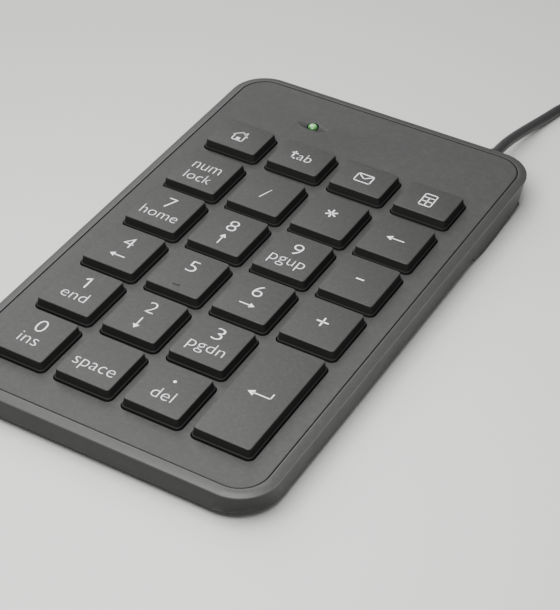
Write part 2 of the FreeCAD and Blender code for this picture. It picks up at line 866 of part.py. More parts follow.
def add_stabiliser_tabs(body):
    """Two slotted tabs under the long key that ride on the ends of the wire."""
    roof = size("plate_top") + size("key_proud") - size("key_roof")
    x = slot_x()
    bottom, thickness = size("tab_bottom"), size("tab_thickness")
    tab = new_sketch(body, "tab_outline", x, -size("tab_y"), bottom)
    rectangle(tab, size("tab_length"), thickness)
    tab_pad = pad(body, tab, roof - bottom + size("key_roof") / 4, "tab")
    behind = size("tab_y") - thickness
    slot = new_sketch(body, "slot_outline", x, stabiliser_rest_z(), behind, "XZ_Plane")
    rectangle(slot, size("slot_length"), size("slot_height"))
    slot_cut = pocket(body, slot, 2 * thickness, "slot")
    repeat(body, [tab_pad, slot_cut], "tabs", ("Y", 2 * size("tab_y"), 2))


def slot_x():
    """Middle of the small sideways swing of the wire's ends."""
    arm, rise = size("wire_arm"), size("key_travel") / 2
    return size("wire_pivot_x") - arm + rise * rise / (4 * arm)


# Under the keys


def add_to_each_key(body, build):
    """Runs one builder at the first key of every block and repeats what it made."""
    for kind, column, y, runs in key_groups():
        made = build(kind, key_x(column), y)
        if runs:
            repeat(body, made, f"{kind}_set", *runs)


def make_key_guide_frame():
    """Plate on a low rim, with a square chimney for each plunger and two wire clips."""
    body = new_body("key_guide_frame")
    bottom, top = size("guide_bottom"), size("guide_top")
    pad(body, sheet_outline(body, "plate_outline", bottom), top - bottom, "plate")
    rail = sheet_outline(body, "rail_outline", rubber_top())
    pad(body, rail, bottom - rubber_top(), "rail")
    inside = sheet_outline(body, "rail_inside", rubber_top(), size("guide_rail"))
    pocket(body, inside, bottom - rubber_top(), "rail_hollow")

    bore_width = size("stem_width") + 2 * size("stem_gap")
    slot_width = bore_width + 2 * size("barb_reach") + 2 * size("stem_gap")

    def chimney(kind, x, y):
        outer = new_sketch(body, f"{kind}_chimney_outline", x, y, bottom)
        rounded_rectangle(outer, size("chimney_width"), size("chimney_width"), size("key_corner"))
        wall = pad(body, outer, size("chimney_top") - bottom, f"{kind}_chimney")
        bore = new_sketch(body, f"{kind}_bore_outline", x, y, bottom)
        rectangle(bore, bore_width, bore_width)
        bore_cut = pocket(body, bore, size("chimney_top"), f"{kind}_bore")
        slot = new_sketch(body, f"{kind}_barb_outline", x, y, bottom)
        rectangle(slot, slot_width, size("barb_length") + 4 * size("stem_gap"))
        slot_cut = pocket(body, slot, size("chimney_ledge") - bottom, f"{kind}_barb_slot")
        return [wall, bore_cut, slot_cut]

    add_to_each_key(body, chimney)

    pitch = size("key_pitch")
    hole = new_sketch(body, "stake_hole_outline", -pitch, row_y(4) - pitch / 2, bottom)
    circle(hole, size("stake_pin_radius") + size("close_fit"))
    hole_cut = pocket(body, hole, top, "stake_hole")
    repeat(body, [hole_cut], "stake_holes", ("X", pitch, 3), ("Y", pitch, 4))

    x, near = key_x(3), enter_y() - size("window_y")
    window = new_sketch(body, "window_outline", x + size("window_x"), near, bottom)
    rectangle(window, size("window_length"), size("window_width"))
    window_cut = pocket(body, window, top, "window")
    repeat(body, [window_cut], "windows", ("Y", 2 * size("window_y"), 2))

    x, near = x + size("wire_pivot_x"), enter_y() - size("clip_offset")
    clip = new_sketch(body, "clip_outline", x, near, bottom)
    rectangle(clip, size("clip_width"), size("clip_length"))
    clip_pad = pad(body, clip, size("clip_top") - bottom, "clip")
    behind = -(near + size("clip_length"))
    hole = new_sketch(body, "clip_hole_outline", x, size("wire_pivot_z"), behind, "XZ_Plane")
    circle(hole, size("wire_radius") + size("wire_clearance"))
    hole_cut = pocket(body, hole, 2 * size("clip_length"), "clip_hole")
    mouth_z = size("clip_top")
    mouth = new_sketch(body, "clip_mouth_outline", x, mouth_z, behind, "XZ_Plane")
    rectangle(mouth, size("clip_mouth"), 2 * (mouth_z - size("wire_pivot_z")))
    mouth_cut = pocket(body, mouth, 2 * size("clip_length"), "clip_mouth")
    repeat(body, [clip_pad, hole_cut, mouth_cut], "clips", ("Y", 2 * size("clip_offset"), 2))
    return body


def make_dome_sheet():
    """One rubber sheet with a hollow dome, open below, under each key."""
    body = new_body("dome_sheet")
    bottom, top = board_bottom(), rubber_top()
    pad(body, sheet_outline(body, "sheet_outline", bottom), size("rubber_thickness"), "sheet")
    peak = size("stem_bottom") - size("dome_gap")
    base, crown, wall = size("dome_base_radius"), size("dome_top_radius"), size("dome_wall")
    under_roof = peak - size("dome_roof")
    plunger, plunger_end = size("dome_plunger_radius"), under_roof - size("dome_plunger_length")

    def dome(kind, x, y):
        mouth = new_sketch(body, f"{kind}_mouth_outline", x, y, bottom)
        circle(mouth, base - wall / 2)
        mouth_cut = pocket(body, mouth, size("rubber_thickness"), f"{kind}_mouth")
        section = new_sketch(body, f"{kind}_dome_section", x, 0, -y, "XZ_Plane")
        outside = [(0, peak), (crown, peak), (base, top), (base, bottom)]
        inside = [(base - wall, bottom), (base - wall, top), (crown - wall, under_roof)]
        middle = [(plunger, under_roof), (plunger, plunger_end), (0, plunger_end)]
        outline(section, outside + inside + middle)
        return [mouth_cut, revolve(body, section, f"{kind}_dome")]

    add_to_each_key(body, dome)
    return body


def make_membrane(label, layer):
    """One printed film with a tail to the controller; the middle layer has contact holes."""
    body = new_body(label)
    thickness = size("film_thickness")
    bottom = size("foot_height") + size("floor_thickness") + layer * thickness
    pad(body, sheet_outline(body, "film_outline", bottom), thickness, "film")
    start = sheet_rear_y() - size("sheet_corner")
    end = size("board_y") - size("board_depth") / 2 + 2 * size("sheet_corner")
    tail = new_sketch(body, "tail_outline", y=(start + end) / 2, z=bottom)
    rectangle(tail, size("tail_width"), end - start)
    pad(body, tail, thickness, "tail")

    def contact_hole(kind, x, y):
        hole = new_sketch(body, f"{kind}_hole_outline", x, y, bottom)
        circle(hole, size("contact_radius"))
        return [pocket(body, hole, thickness, f"{kind}_hole")]

    if layer == 1:
        add_to_each_key(body, contact_hole)
    return body


def make_enter_stabiliser():
    """Bent steel wire, drawn flat about its pivot, then turned up to where it rests."""
    arm, half = number(size("wire_arm")), number(size("wire_half_length"))
    tip = half + number(size("wire_pin"))
    corners = [(-arm, -tip), (-arm, -half), (0, -half), (0, half), (-arm, half), (-arm, tip)]
    points = [Vector(x, y, 0) for x, y in corners]
    path, _ = smooth_path(points, number(size("wire_bend")))
    piece = plain_piece("enter_stabiliser", sweep(path, points, number(size("wire_radius"))))
    rise = number(size("key_travel") / 2)
    turn = Rotation(Vector(0, 1, 0), math.degrees(math.asin(rise / arm)))
    x = key_x(3) + size("wire_pivot_x")
    put(piece, "Placement", x, enter_y(), size("wire_pivot_z"))
    piece.Placement = Placement(piece.Placement.Base, turn)
    return piece


# Controller board and what stands on it


def make_controller_board():
    body = new_body("controller_board")
    board = new_sketch(body, "board_outline", y=size("board_y"), z=board_bottom())
    rounded_rectangle(board, size("board_width"), size("board_depth"), size("board_corner"))
    pad(body, board, size("board_thickness"), "board")
    left = -size("board_screw_x")
    hole = new_sketch(body, "hole_outline", left, size("board_y"), board_bottom())
    circle(hole, size("board_hole_radius"))
    cut = pocket(body, hole, size("board_thickness"), "screw_hole")
    repeat(body, [cut], "screw_holes", ("X", 2 * size("board_screw_x"), 2))
    return body


def make_controller_chip():
    body = new_body("controller_chip")
    span = size("chip_leg_pitch") * 6
    x, y = size("chip_x"), size("chip_y")
    leg = new_sketch(body, "leg_outline", x - span / 2, y, board_top())
    rectangle(leg, size("chip_leg_width"), size("chip_leg_span"))
    legs = pad(body, leg, size("chip_leg_height"), "leg")
    repeat(body, [legs], "legs", ("X", size("chip_leg_pitch"), 7))
    case = new_sketch(body, "case_outline", x, y, board_top() + size("chip_leg_height") / 2)
    rectangle(case, size("chip_width"), size("chip_depth"))
    pad(body, case, size("chip_height"), "case")
    return body


def make_board_components():
    """Four chip resistors and a crystal, as separate solids."""
    body = new_body("board_components")
    first = new_sketch(body, "resistor", size("resistor_x"), size("resistor_y"), board_top())
    rectangle(first, size("resistor_length"), size("resistor_width"))
    resistor = pad(body, first, size("resistor_height"), "resistor_body")
    repeat(body, [resistor], "resistors", ("X", size("resistor_pitch"), 4))
    can = new_sketch(body, "crystal", size("crystal_x"), size("chip_y"), board_top())
    rounded_rectangle(can, size("crystal_length"), size("crystal_width"), size("board_corner"))
    pad(body, can, size("crystal_height"), "crystal_can")
    return body


def make_status_led():
    """Round-nosed light that stands on the board and shows through the plate."""
    body = new_body("status_led")
    radius, rim, top = size("light_radius"), size("light_rim_radius"), size("light_top")
    rim_top = board_top() + size("light_rim_height")
    section = new_sketch(body, "section", size("light_x"), 0, -size("light_y"), "XZ_Plane")
    lower = [(0, board_top()), (rim, board_top()), (rim, rim_top), (radius, rim_top)]
    outline(section, lower + [(radius, top), (0, top)])
    revolve(body, section, "lens")
    nose = flat_edges(body.Tip.Shape, number(top))
    soften(body, nose, radius * 0.8, "nose")
    return body


def make_pressure_strip():
    """Foam strip that pushes the membrane's tail up against the board."""
    body = new_body("pressure_strip")
    y, z = strip_place()
    strip = new_sketch(body, "strip_outline", y=y, z=z)
    rectangle(strip, size("tail_width"), size("strip_depth"))
    pad(body, strip, size("strip_height"), "strip")
    return body


def make_cable_socket():
    body = new_body("cable_socket")
    place = (size("socket_x"), size("socket_y"), board_top())
    block = new_sketch(body, "block_outline", *place)
    rectangle(block, size("socket_width"), size("socket_depth"))
    pad(body, block, size("socket_height"), "block")
    key = new_sketch(body, "latch_outline", *place[:2], board_top() + size("socket_height") * 0.7)
    rectangle(key, size("socket_width") / 3, size("socket_depth") / 2)
    pocket(body, key, size("socket_height"), "latch_seat")
    return body


def screw_set(label, x, y, head_z, head_radius, head_height, radius, length, upwards, *runs):
    """Cross-headed screws, each a separate solid, driven up into or down onto their seats."""
    body = new_body(label)
    way = 1 if upwards else -1
    under = head_z + head_height * way
    tip = under + length * way
    section = new_sketch(body, "section", x, 0, -y, "XZ_Plane")
    head = [(0, head_z), (head_radius, head_z), (head_radius, under), (radius, under)]
    outline(section, head + [(radius, tip), (0, tip)])
    screw = revolve(body, section, "screw")
    across, arm = head_radius * 1.2, head_radius * 0.28
    first_z = head_z if upwards else head_z - head_height * 0.5
    cuts = []
    for name, wide, deep in (("across", across, arm), ("along", arm, across)):
        bar = new_sketch(body, f"drive_{name}_outline", x, y, first_z)
        rectangle(bar, wide, deep)
        cuts.append(pocket(body, bar, head_height * 0.5, f"drive_{name}"))
    repeat(body, [screw, *cuts], "set", *runs)
    return body


def make_case_screws():
    seat = size("foot_height") + size("recess_spare")
    sizes = (size("screw_head_radius"), size("screw_head_height"), size("screw_radius"))
    across = ("X", 2 * size("side_screw_x"), 2)
    along = ("Y", size("end_screw_y"), 3)
    place = (-size("side_screw_x"), -size("end_screw_y"), seat)
    return screw_set("case_screws", *place, *sizes, size("screw_length"), True, across, along)


def make_board_screws():
    head = board_top() + size("board_screw_head_height")
    sizes = (size("board_screw_head"), size("board_screw_head_height"), size("board_screw_radius"))
    across = ("X", 2 * size("board_screw_x"), 2)
    place = (-size("board_screw_x"), size("board_y"), head)
    length = size("board_thickness") * 2
    return screw_set("board_screws", *place, *sizes, length, False, across)


# Cable


trim_share = 0.45  # how much of the shorter run beside a bend its arc takes up


def smooth_path(points, longest_trim=math.inf):
    """Straight runs joined by tangent arcs, and the radius of each arc."""
    edges, radii = [], []
    here = points[0]
    for before, corner, after in zip(points, points[1:], points[2:]):
        into, out = corner - before, after - corner
        trim = min(trim_share * min(into.Length, out.Length), longest_trim)
        into.normalize()
        out.normalize()
        half_turn = into.getAngle(out) / 2
        radius = trim / math.tan(half_turn)
        inward = out - into
        inward.normalize()
        start, end = corner - into * trim, corner + out * trim
        middle = corner + inward * (radius / math.cos(half_turn) - radius)
        edges.append(Part.LineSegment(here, start).toShape())
        edges.append(Part.Arc(start, middle, end).toShape())
        radii.append(radius)
        here = end
    edges.append(Part.LineSegment(here, points[-1]).toShape())
    return Part.Wire(edges), radii


def sweep(path, points, radius):
    ring = Part.makeCircle(radius, points[0], points[1] - points[0])
    return path.makePipeShell([Part.Wire(ring)], True, False)


def make_cable(label, points):
    """A length of cable, with its bends and its volume printed as a check on the sweep."""
    radius = number(size("cable_radius"))
    path, radii = smooth_path(points)
    tube = sweep(path, points, radius)
    expected = math.pi * radius**2 * path.Length
    bends = ", ".join(f"{bend:.1f}" for bend in radii)
    print(f"{label}: length {path.Length:.1f}, bend radii {bends}")
    print(f"{label}: volume {tube.Volume:.1f}, section times length {expected:.1f}")
    if abs(tube.Volume - expected) > 0.02 * expected:
        raise RuntimeError(f"{label} has folded over itself")
    return plain_piece(label, tube)


def rear_wall_y():
    """The outer face of the rear wall, level with the cable."""
    return size("case_length") / 2 - size("wall_step")


def relief_end_y():
    return rear_wall_y() + size("grommet_gap") + size("relief_length")


def grommet_inner_y():
    """The inner face of the grommet's flange, where the cable goes on inside the case."""
    wall_in = rear_wall_y() - size("wall_thickness") - size("grommet_gap")
    return wall_in - size("grommet_flange_thickness")


def make_cable_grommet():
    """Moulded-on relief: a flat flange inside the wall, a neck, and a short tapered collar."""
    body = new_body("cable_grommet")
    x, z = size("cable_exit_x"), size("cable_exit_z")
    inner, end = grommet_inner_y(), relief_end_y()
    root = end - size("relief_length")
    section = new_sketch(body, "section", x, 0, z)
    neck, collar, tip = "grommet_neck_radius", "relief_root_radius", "relief_tip_radius"
    inside = [(0, inner), (size(neck), inner), (size(neck), root), (size(collar), root)]
    outline(section, inside + [(size(tip), end), (0, end)])
    revolve(body, section, "relief")
    flange_outer = inner + size("grommet_flange_thickness")
    flange = new_sketch(body, "flange_outline", x, z, -flange_outer, "XZ_Plane")
    wide, high = size("grommet_flange_width"), size("grommet_flange_height")
    rounded_rectangle(flange, wide, high, size("key_corner"))
    pad(body, flange, size("grommet_flange_thickness"), "flange")
    return body


def inner_cable_points():
    """From the grommet towards the board, ending short of the board's edge."""
    x, z = number(size("cable_exit_x")), number(size("cable_exit_z"))
    start = number(grommet_inner_y())
    bend_y = start - number(size("sheath_straight"))
    end_x, end_y = x - number(size("sheath_aside")), bend_y - number(size("sheath_forward"))
    return [Vector(x, start, z), Vector(x, bend_y, z), Vector(end_x, end_y, z)]


def make_cable_wires():
    """Four cores that fan out from the end of the sheath to the socket."""
    sheath = inner_cable_points()
    along = sheath[-1] - sheath[-2]
    along.normalize()
    aside = Vector(along.y, -along.x, 0)
    spread, straight = number(size("core_spread")), number(size("core_straight"))
    socket_face = number(size("socket_x") + size("socket_width") / 2)
    socket_y = number(size("socket_y"))
    level = number(board_top() + size("socket_height") / 2)
    radius = number(size("core_radius"))
    cores = []
    for index, (side, height) in enumerate(((-1, -1), (-1, 1), (1, 1), (1, -1))):
        start = sheath[-1] + aside * spread * side + Vector(0, 0, spread * height)
        y = socket_y + (index - 1.5) * 3 * radius
        run = [start, start + along * straight, Vector(socket_face + straight, y, level)]
        run.append(Vector(socket_face, y, level))
        path, _ = smooth_path(run)
        cores.append(sweep(path, run, radius))
    return plain_piece("cable_wires", Part.makeCompound(cores))


def make_cable_coil():
    """The put-away length of cable, as one ring."""
    body = new_body("cable_coil")
    put(body, "Placement", size("coil_x"), size("coil_y"), 0)
    inner, outer = size("coil_inner_radius"), size("coil_outer_radius")
    bottom = size("coil_bottom")
    top = bottom + size("coil_height")
    section = new_sketch(body, "section", plane="XZ_Plane")
    outline(section, [(inner, bottom), (outer, bottom), (outer, top), (inner, top)])
    revolve(body, section, "ring")
    rims = flat_edges(body.Tip.Shape, number(bottom)) + flat_edges(body.Tip.Shape, number(top))
    soften(body, rims, size("coil_round"), "ring_round")
    return body


def make_cable_ties():
    """Two straps round the coil, on opposite sides."""
    body = new_body("cable_ties")
    put(body, "Placement", size("coil_x"), size("coil_y"), 0)
    body.Placement = Placement(body.Placement.Base, Rotation(Vector(0, 0, 1), 45))
    gap, thick = size("tie_gap"), size("tie_thickness")
    inner = size("coil_inner_radius") - 4 * gap
    outer = size("coil_outer_radius") + gap
    middle_z = size("coil_bottom") + size("coil_height") / 2
    wide, high = outer - inner, size("coil_height") + 2 * gap
    place = ((inner + outer) / 2, middle_z, -(size("tie_width") / 2), "XZ_Plane")
    outer_loop = new_sketch(body, "outer_loop", *place)
    rounded_rectangle(outer_loop, wide + 2 * thick, high + 2 * thick, size("coil_round"))
    strap = pad(body, outer_loop, size("tie_width"), "strap")
    inner_loop = new_sketch(body, "inner_loop", *place)
    rounded_rectangle(inner_loop, wide, high, size("coil_round") - thick)
    opening = pocket(body, inner_loop, size("tie_width"), "opening")
    pair = body.newObject("PartDesign::PolarPattern", "pair")
    pair.Originals = [strap, opening]
    pair.Axis = (origin_part(body, "Z_Axis"), [""])
    pair.Angle = 360
    pair.Occurrences = 2
    body.Tip = pair
    doc.recompute()
    return body


# Plug. It lies on the desk and points towards the user.


def plug_sketch(body, name, y, z=None):
    level = size("plug_axis_z") if z is None else z
    return new_sketch(body, name, size("plug_x"), level, -y, "XZ_Plane")


def plug_front_y():
    """Where the moulded body ends and the bare shell starts."""
    return size("plug_y") - size("plug_neck_length") - size("plug_body_length")


def make_plug_body():
    body = new_body("plug_body")
    y, neck_length = size("plug_y"), size("plug_neck_length")
    thin = plug_sketch(body, "neck_tip", y)
    circle(thin, size("cable_radius") + 0.4)
    thick = plug_sketch(body, "neck_root", y - neck_length - 0.5)
    circle(thick, size("plug_neck_radius"))
    loft(body, thin, thick, "neck")
    grip = plug_sketch(body, "grip_outline", y - neck_length)
    wide, high = size("plug_body_width"), size("plug_body_thickness")
    rounded_rectangle(grip, wide, high, 1.5 * size("plug_round"))
    pad(body, grip, size("plug_body_length"), "grip")
    ends = flat_edges(body.Tip.Shape, number(plug_front_y()), "Y")
    soften(body, ends, size("plug_round") / 2, "front_round")
    seat = plug_sketch(body, "seat_outline", plug_front_y() + size("shell_seat"))
    rounded_rectangle(seat, size("shell_width"), size("shell_thickness"), size("tie_thickness"))
    pocket(body, seat, size("shell_seat") + 1, "shell_seat")
    return body


def make_plug_shell():
    """Folded metal sleeve with two latch windows above and two below."""
    body = new_body("plug_shell")
    rear = plug_front_y() + size("shell_seat")
    length = size("shell_length") + size("shell_seat")
    outer = plug_sketch(body, "outer", rear)
    rounded_rectangle(outer, size("shell_width"), size("shell_thickness"), size("tie_thickness"))
    pad(body, outer, length, "sleeve")
    wall = 2 * size("shell_wall")
    inner = plug_sketch(body, "inner", rear)
    wide, high = size("shell_width") - wall, size("shell_thickness") - wall
    rounded_rectangle(inner, wide, high, size("shell_wall"))
    pocket(body, inner, length, "mouth")
    x, y = size("plug_x") - size("contact_pitch"), plug_front_y() - size("shell_length") / 2
    window = new_sketch(body, "window", x, y, 0)
    rectangle(window, size("contact_pitch"), size("contact_pitch"))
    cut = pocket(body, window, 2 * size("plug_axis_z"), "latch_window")
    repeat(body, [cut], "latch_windows", ("X", 2 * size("contact_pitch"), 2))
    return body


def tongue_bottom():
    return size("plug_axis_z")


def make_plug_tongue():
    body = new_body("plug_tongue")
    rear = plug_front_y() + size("shell_seat")
    level = tongue_bottom() + size("tongue_thickness") / 2
    face = plug_sketch(body, "tongue_outline", rear, level)
    rectangle(face, size("shell_width") - 3 * size("shell_wall"), size("tongue_thickness"))
    pad(body, face, size("shell_length") + size("shell_seat") - size("shell_wall"), "tongue")
    return body


def make_plug_contacts():
    """Four plated strips along the tongue's open face."""
    body = new_body("plug_contacts")
    thickness = size("contact_thickness")
    x = size("plug_x") - size("contact_pitch") * 1.5
    length = size("shell_length") * 0.75
    y = plug_front_y() - size("shell_length") * 0.55
    strip = new_sketch(body, "strip_outline", x, y, tongue_bottom() - thickness)
    rectangle(strip, size("contact_width"), length)
    contact = pad(body, strip, thickness, "strip")
    repeat(body, [contact], "strips", ("X", size("contact_pitch"), 4))
    return body


# The whole keypad

fill_sheet()

make_bottom_case()
for which, y, deep, level in foot_places():
    make_feet(which, y, deep, level)
make_top_frame()
make_top_plate()
make_key_guide_frame()
make_dome_sheet()
for layer, name in enumerate(("membrane_lower", "membrane_spacer", "membrane_upper")):
    make_membrane(name, layer)
make_pressure_strip()
make_controller_board()
make_controller_chip()
make_board_components()
make_status_led()
make_cable_socket()
make_case_screws()
make_board_screws()

for column, name in enumerate(function_keys):
    make_key(name, column, row_y(0), "function")
for row, names in enumerate(number_keys, start=1):
    for column, name in enumerate(names):
        key = make_key(name, column, row_y(row), "number")
        if name == "key_5":
            add_homing_bar(key)
add_stabiliser_tabs(make_key("key_enter", 3, enter_y(), "enter"))
make_enter_stabiliser()

make_cable_grommet()
inner_points = inner_cable_points()
make_cable("inner_cable", inner_points)
make_cable_wires()
lead_points = [
    Vector(31.0, 76.6, 5.8),
    Vector(31.0, 82.5, 5.8),
    Vector(31.5, 89.5, 4.3),
    Vector(32.0, 96.5, 2.3),
    Vector(33.0, 104.0, 1.5),
    Vector(35.4, 112.3, 1.5),
    Vector(40.5, 120.5, 1.5),
    Vector(49.0, 127.0, 1.5),
    Vector(60.0, 129.7, 1.7),
    Vector(69.0, 130.4, 2.2),
]
tail_points = [
    Vector(98.3, 104.0, 5.2),
    Vector(98.5, 96.0, 4.4),
    Vector(98.2, 87.0, 2.4),
    Vector(97.4, 78.0, 2.0),
    Vector(96.2, 70.5, 3.6),
    Vector(96.2, 63.0, 3.9),
]
make_cable("cable_lead", lead_points)
make_cable("cable_tail", tail_points)
make_cable_coil()
make_cable_ties()
make_plug_body()
make_plug_shell()
make_plug_tongue()
make_plug_contacts()

doc.recompute()
for thing in doc.Objects:
    if "Invalid" in thing.State or "Error" in thing.State:
        raise RuntimeError(f"{thing.Name} did not recompute: {thing.State}")

bodies = [thing for thing in doc.Objects if thing.TypeId == "PartDesign::Body"]
plain = [thing for thing in doc.Objects if thing.TypeId == "Part::Feature"]
os.makedirs("parts", exist_ok=True)
for piece in bodies + plain:
    shape = piece.Shape
    if shape.isNull() or not shape.isValid() or shape.Volume <= 0:
        raise RuntimeError(f"{piece.Label} has no sound shape")
    shape.exportStep(f"parts/{piece.Label}.step")
    print(f"{piece.Label}: {len(shape.Solids)} solids, {shape.Volume:.1f} mm3")
print(f"{len(bodies + plain)} pieces")
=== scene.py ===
# Wired numeric keypad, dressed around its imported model. Lengths are in metres.
import math
import bpy
import bmesh
from mathutils import Matrix, Vector


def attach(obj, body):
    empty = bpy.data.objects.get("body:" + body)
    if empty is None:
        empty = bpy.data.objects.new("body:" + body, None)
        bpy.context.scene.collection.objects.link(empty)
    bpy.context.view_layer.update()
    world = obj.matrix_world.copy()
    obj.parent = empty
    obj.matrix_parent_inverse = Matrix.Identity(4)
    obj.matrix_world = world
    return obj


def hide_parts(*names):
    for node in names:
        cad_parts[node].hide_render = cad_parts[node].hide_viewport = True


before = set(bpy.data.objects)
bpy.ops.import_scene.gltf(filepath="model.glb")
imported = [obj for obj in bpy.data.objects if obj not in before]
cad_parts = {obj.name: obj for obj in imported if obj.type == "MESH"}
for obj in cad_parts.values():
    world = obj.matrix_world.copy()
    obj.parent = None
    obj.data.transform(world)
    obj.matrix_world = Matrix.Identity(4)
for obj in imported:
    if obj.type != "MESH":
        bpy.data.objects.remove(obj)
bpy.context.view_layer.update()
scene = bpy.context.scene
mm = 0.001
print("frame loaded")


def addObject(name, data):
    piece = bpy.data.objects.new(name, data)
    scene.collection.objects.link(piece)
    return piece


def bakeMesh(piece):
    # the piece's shape with its modifiers applied, as a plain mesh
    bpy.context.view_layer.update()
    return bpy.data.meshes.new_from_object(piece.evaluated_get(bpy.context.evaluated_depsgraph_get()))


# camera
cameraSetup = {
    "place": (0.1901, -0.3128, 0.3042),
    "lens": 110.0,
    "sensor": 36.0,
    "azimuth": 30.256,    # degrees, from straight in front towards the right
    "elevation": 40.273,  # degrees above the desk
    "roll": 0.214,
    "clip": (0.01, 20),
}


def makeCamera(setup):
    data = bpy.data.cameras.new("camera")
    data.lens = setup["lens"]
    data.sensor_width = setup["sensor"]
    data.sensor_fit = "AUTO"
    data.clip_start, data.clip_end = setup["clip"]
    camera = addObject("camera", data)
    turn = Matrix.Rotation(math.radians(setup["azimuth"]), 4, "Z")
    tilt = Matrix.Rotation(math.radians(90 - setup["elevation"]), 4, "X")
    roll = Matrix.Rotation(math.radians(setup["roll"]), 4, "Z")
    camera.matrix_world = Matrix.Translation(setup["place"]) @ turn @ tilt @ roll
    scene.camera = camera


makeCamera(cameraSetup)
print("camera placed")

# shared shader groups


def newGroup(name, inputs, outputs):
    group = bpy.data.node_groups.new(name, "ShaderNodeTree")
    for label, kind, value in inputs:
        socket = group.interface.new_socket(label, in_out="INPUT", socket_type=kind)
        if value is not None:
            socket.default_value = value
    for label, kind in outputs:
        group.interface.new_socket(label, in_out="OUTPUT", socket_type=kind)
    start = group.nodes.new("NodeGroupInput")
    end = group.nodes.new("NodeGroupOutput")
    return group, start, end


def wire(group, source, target):
    group.links.new(source, target)


def addMath(group, operation, first, second=None, clamp=False):
    node = group.nodes.new("ShaderNodeMath")
    node.operation = operation
    node.use_clamp = clamp
    for slot, value in enumerate((first, second)):
        if value is None:
            continue
        if isinstance(value, (int, float)):
            node.inputs[slot].default_value = value
        else:
            wire(group, value, node.inputs[slot])
    return node.outputs[0]


def addNoise(group, vector, scale, detail=4.0, roughness=0.55):
    node = group.nodes.new("ShaderNodeTexNoise")
    node.inputs["Detail"].default_value = detail
    node.inputs["Roughness"].default_value = roughness
    if isinstance(scale, (int, float)):
        node.inputs["Scale"].default_value = scale
    else:
        wire(group, scale, node.inputs["Scale"])
    wire(group, vector, node.inputs["Vector"])
    return node.outputs["Fac"]


def mixColour(group, fac, first, second):
    node = group.nodes.new("ShaderNodeMix")
    node.data_type = "RGBA"
    wire(group, fac, node.inputs["Factor"])
    for socket, value in ((node.inputs[6], first), (node.inputs[7], second)):
        if isinstance(value, tuple):
            socket.default_value = value
        else:
            wire(group, value, socket)
    return node.outputs[2]


def stretch(group, value, gain, offset):
    # a value times the gain plus the offset, kept between 0 and 1
    result = addMath(group, "MULTIPLY_ADD", value, gain, clamp=True)
    result.node.inputs[2].default_value = offset
    return result


grainShape = {"broadScale": 38.0, "blotchScale": 210.0, "contrast": 2.2, "offset": -0.6, "fineShare": 0.55,
              "broadShare": 0.25, "roughnessSpread": 0.12, "bumpDistance": 0.00006}
wearAndHighlightShape = {"gain": 9.0, "offset": -4.7, "patchScale": 420.0}
dustShape = {"upGain": 1.6, "upOffset": -0.6, "spotScale": 900.0, "spotGain": 3.0, "spotOffset": -1.35}


def makeMouldedPlastic(shape):
    # colour, roughness and grain height of spark-textured plastic
    group, start, end = newGroup("moulded plastic", [
        ("Vector", "NodeSocketVector", None),
        ("Colour", "NodeSocketColor", (0.05, 0.05, 0.05, 1)),
        ("Light Colour", "NodeSocketColor", (0.08, 0.08, 0.08, 1)),
        ("Grain Scale", "NodeSocketFloat", 3500.0),
        ("Roughness", "NodeSocketFloat", 0.5),
        ("Roughness Spread", "NodeSocketFloat", 0.1),
    ], [("Colour", "NodeSocketColor"), ("Roughness", "NodeSocketFloat"), ("Height", "NodeSocketFloat")])
    place = start.outputs["Vector"]
    fine = addNoise(group, place, start.outputs["Grain Scale"], detail=3.0, roughness=0.7)
    broad = addNoise(group, place, shape["broadScale"], detail=3.0)
    blotch = addNoise(group, place, shape["blotchScale"], roughness=0.6)
    speck = stretch(group, fine, shape["contrast"], shape["offset"])
    coarse = addMath(group, "MULTIPLY", broad, shape["broadShare"])
    total = addMath(group, "ADD", coarse, addMath(group, "MULTIPLY", speck, shape["fineShare"]), True)
    tone = mixColour(group, total, start.outputs["Colour"], start.outputs["Light Colour"])
    wire(group, tone, end.inputs["Colour"])
    uneven = addMath(group, "SUBTRACT", blotch, 0.5)
    spread = addMath(group, "MULTIPLY", uneven, start.outputs["Roughness Spread"])
    wire(group, addMath(group, "ADD", start.outputs["Roughness"], spread, True), end.inputs["Roughness"])
    wire(group, fine, end.inputs["Height"])
    return group


def makeEdgeWearAndHighlight(shape):
    # lightens a colour along sharp edges: wear where edges have been handled, and a painted highlight where
    # they catch the light
    group, start, end = newGroup("edge wear and highlight", [
        ("Vector", "NodeSocketVector", None),
        ("Colour", "NodeSocketColor", (0.05, 0.05, 0.05, 1)),
        ("Worn And Highlight Colour", "NodeSocketColor", (0.12, 0.12, 0.12, 1)),
        ("Amount", "NodeSocketFloat", 0.5),
    ], [("Colour", "NodeSocketColor")])
    geometry = group.nodes.new("ShaderNodeNewGeometry")
    sharp = stretch(group, geometry.outputs["Pointiness"], shape["gain"], shape["offset"])
    patchy = addNoise(group, start.outputs["Vector"], shape["patchScale"], roughness=0.65)
    amount = addMath(group, "MULTIPLY", patchy, start.outputs["Amount"])
    mask = addMath(group, "MULTIPLY", sharp, amount, True)
    wornAndHighlight = mixColour(group, mask, start.outputs["Colour"], start.outputs["Worn And Highlight Colour"])
    wire(group, wornAndHighlight, end.inputs["Colour"])
    return group


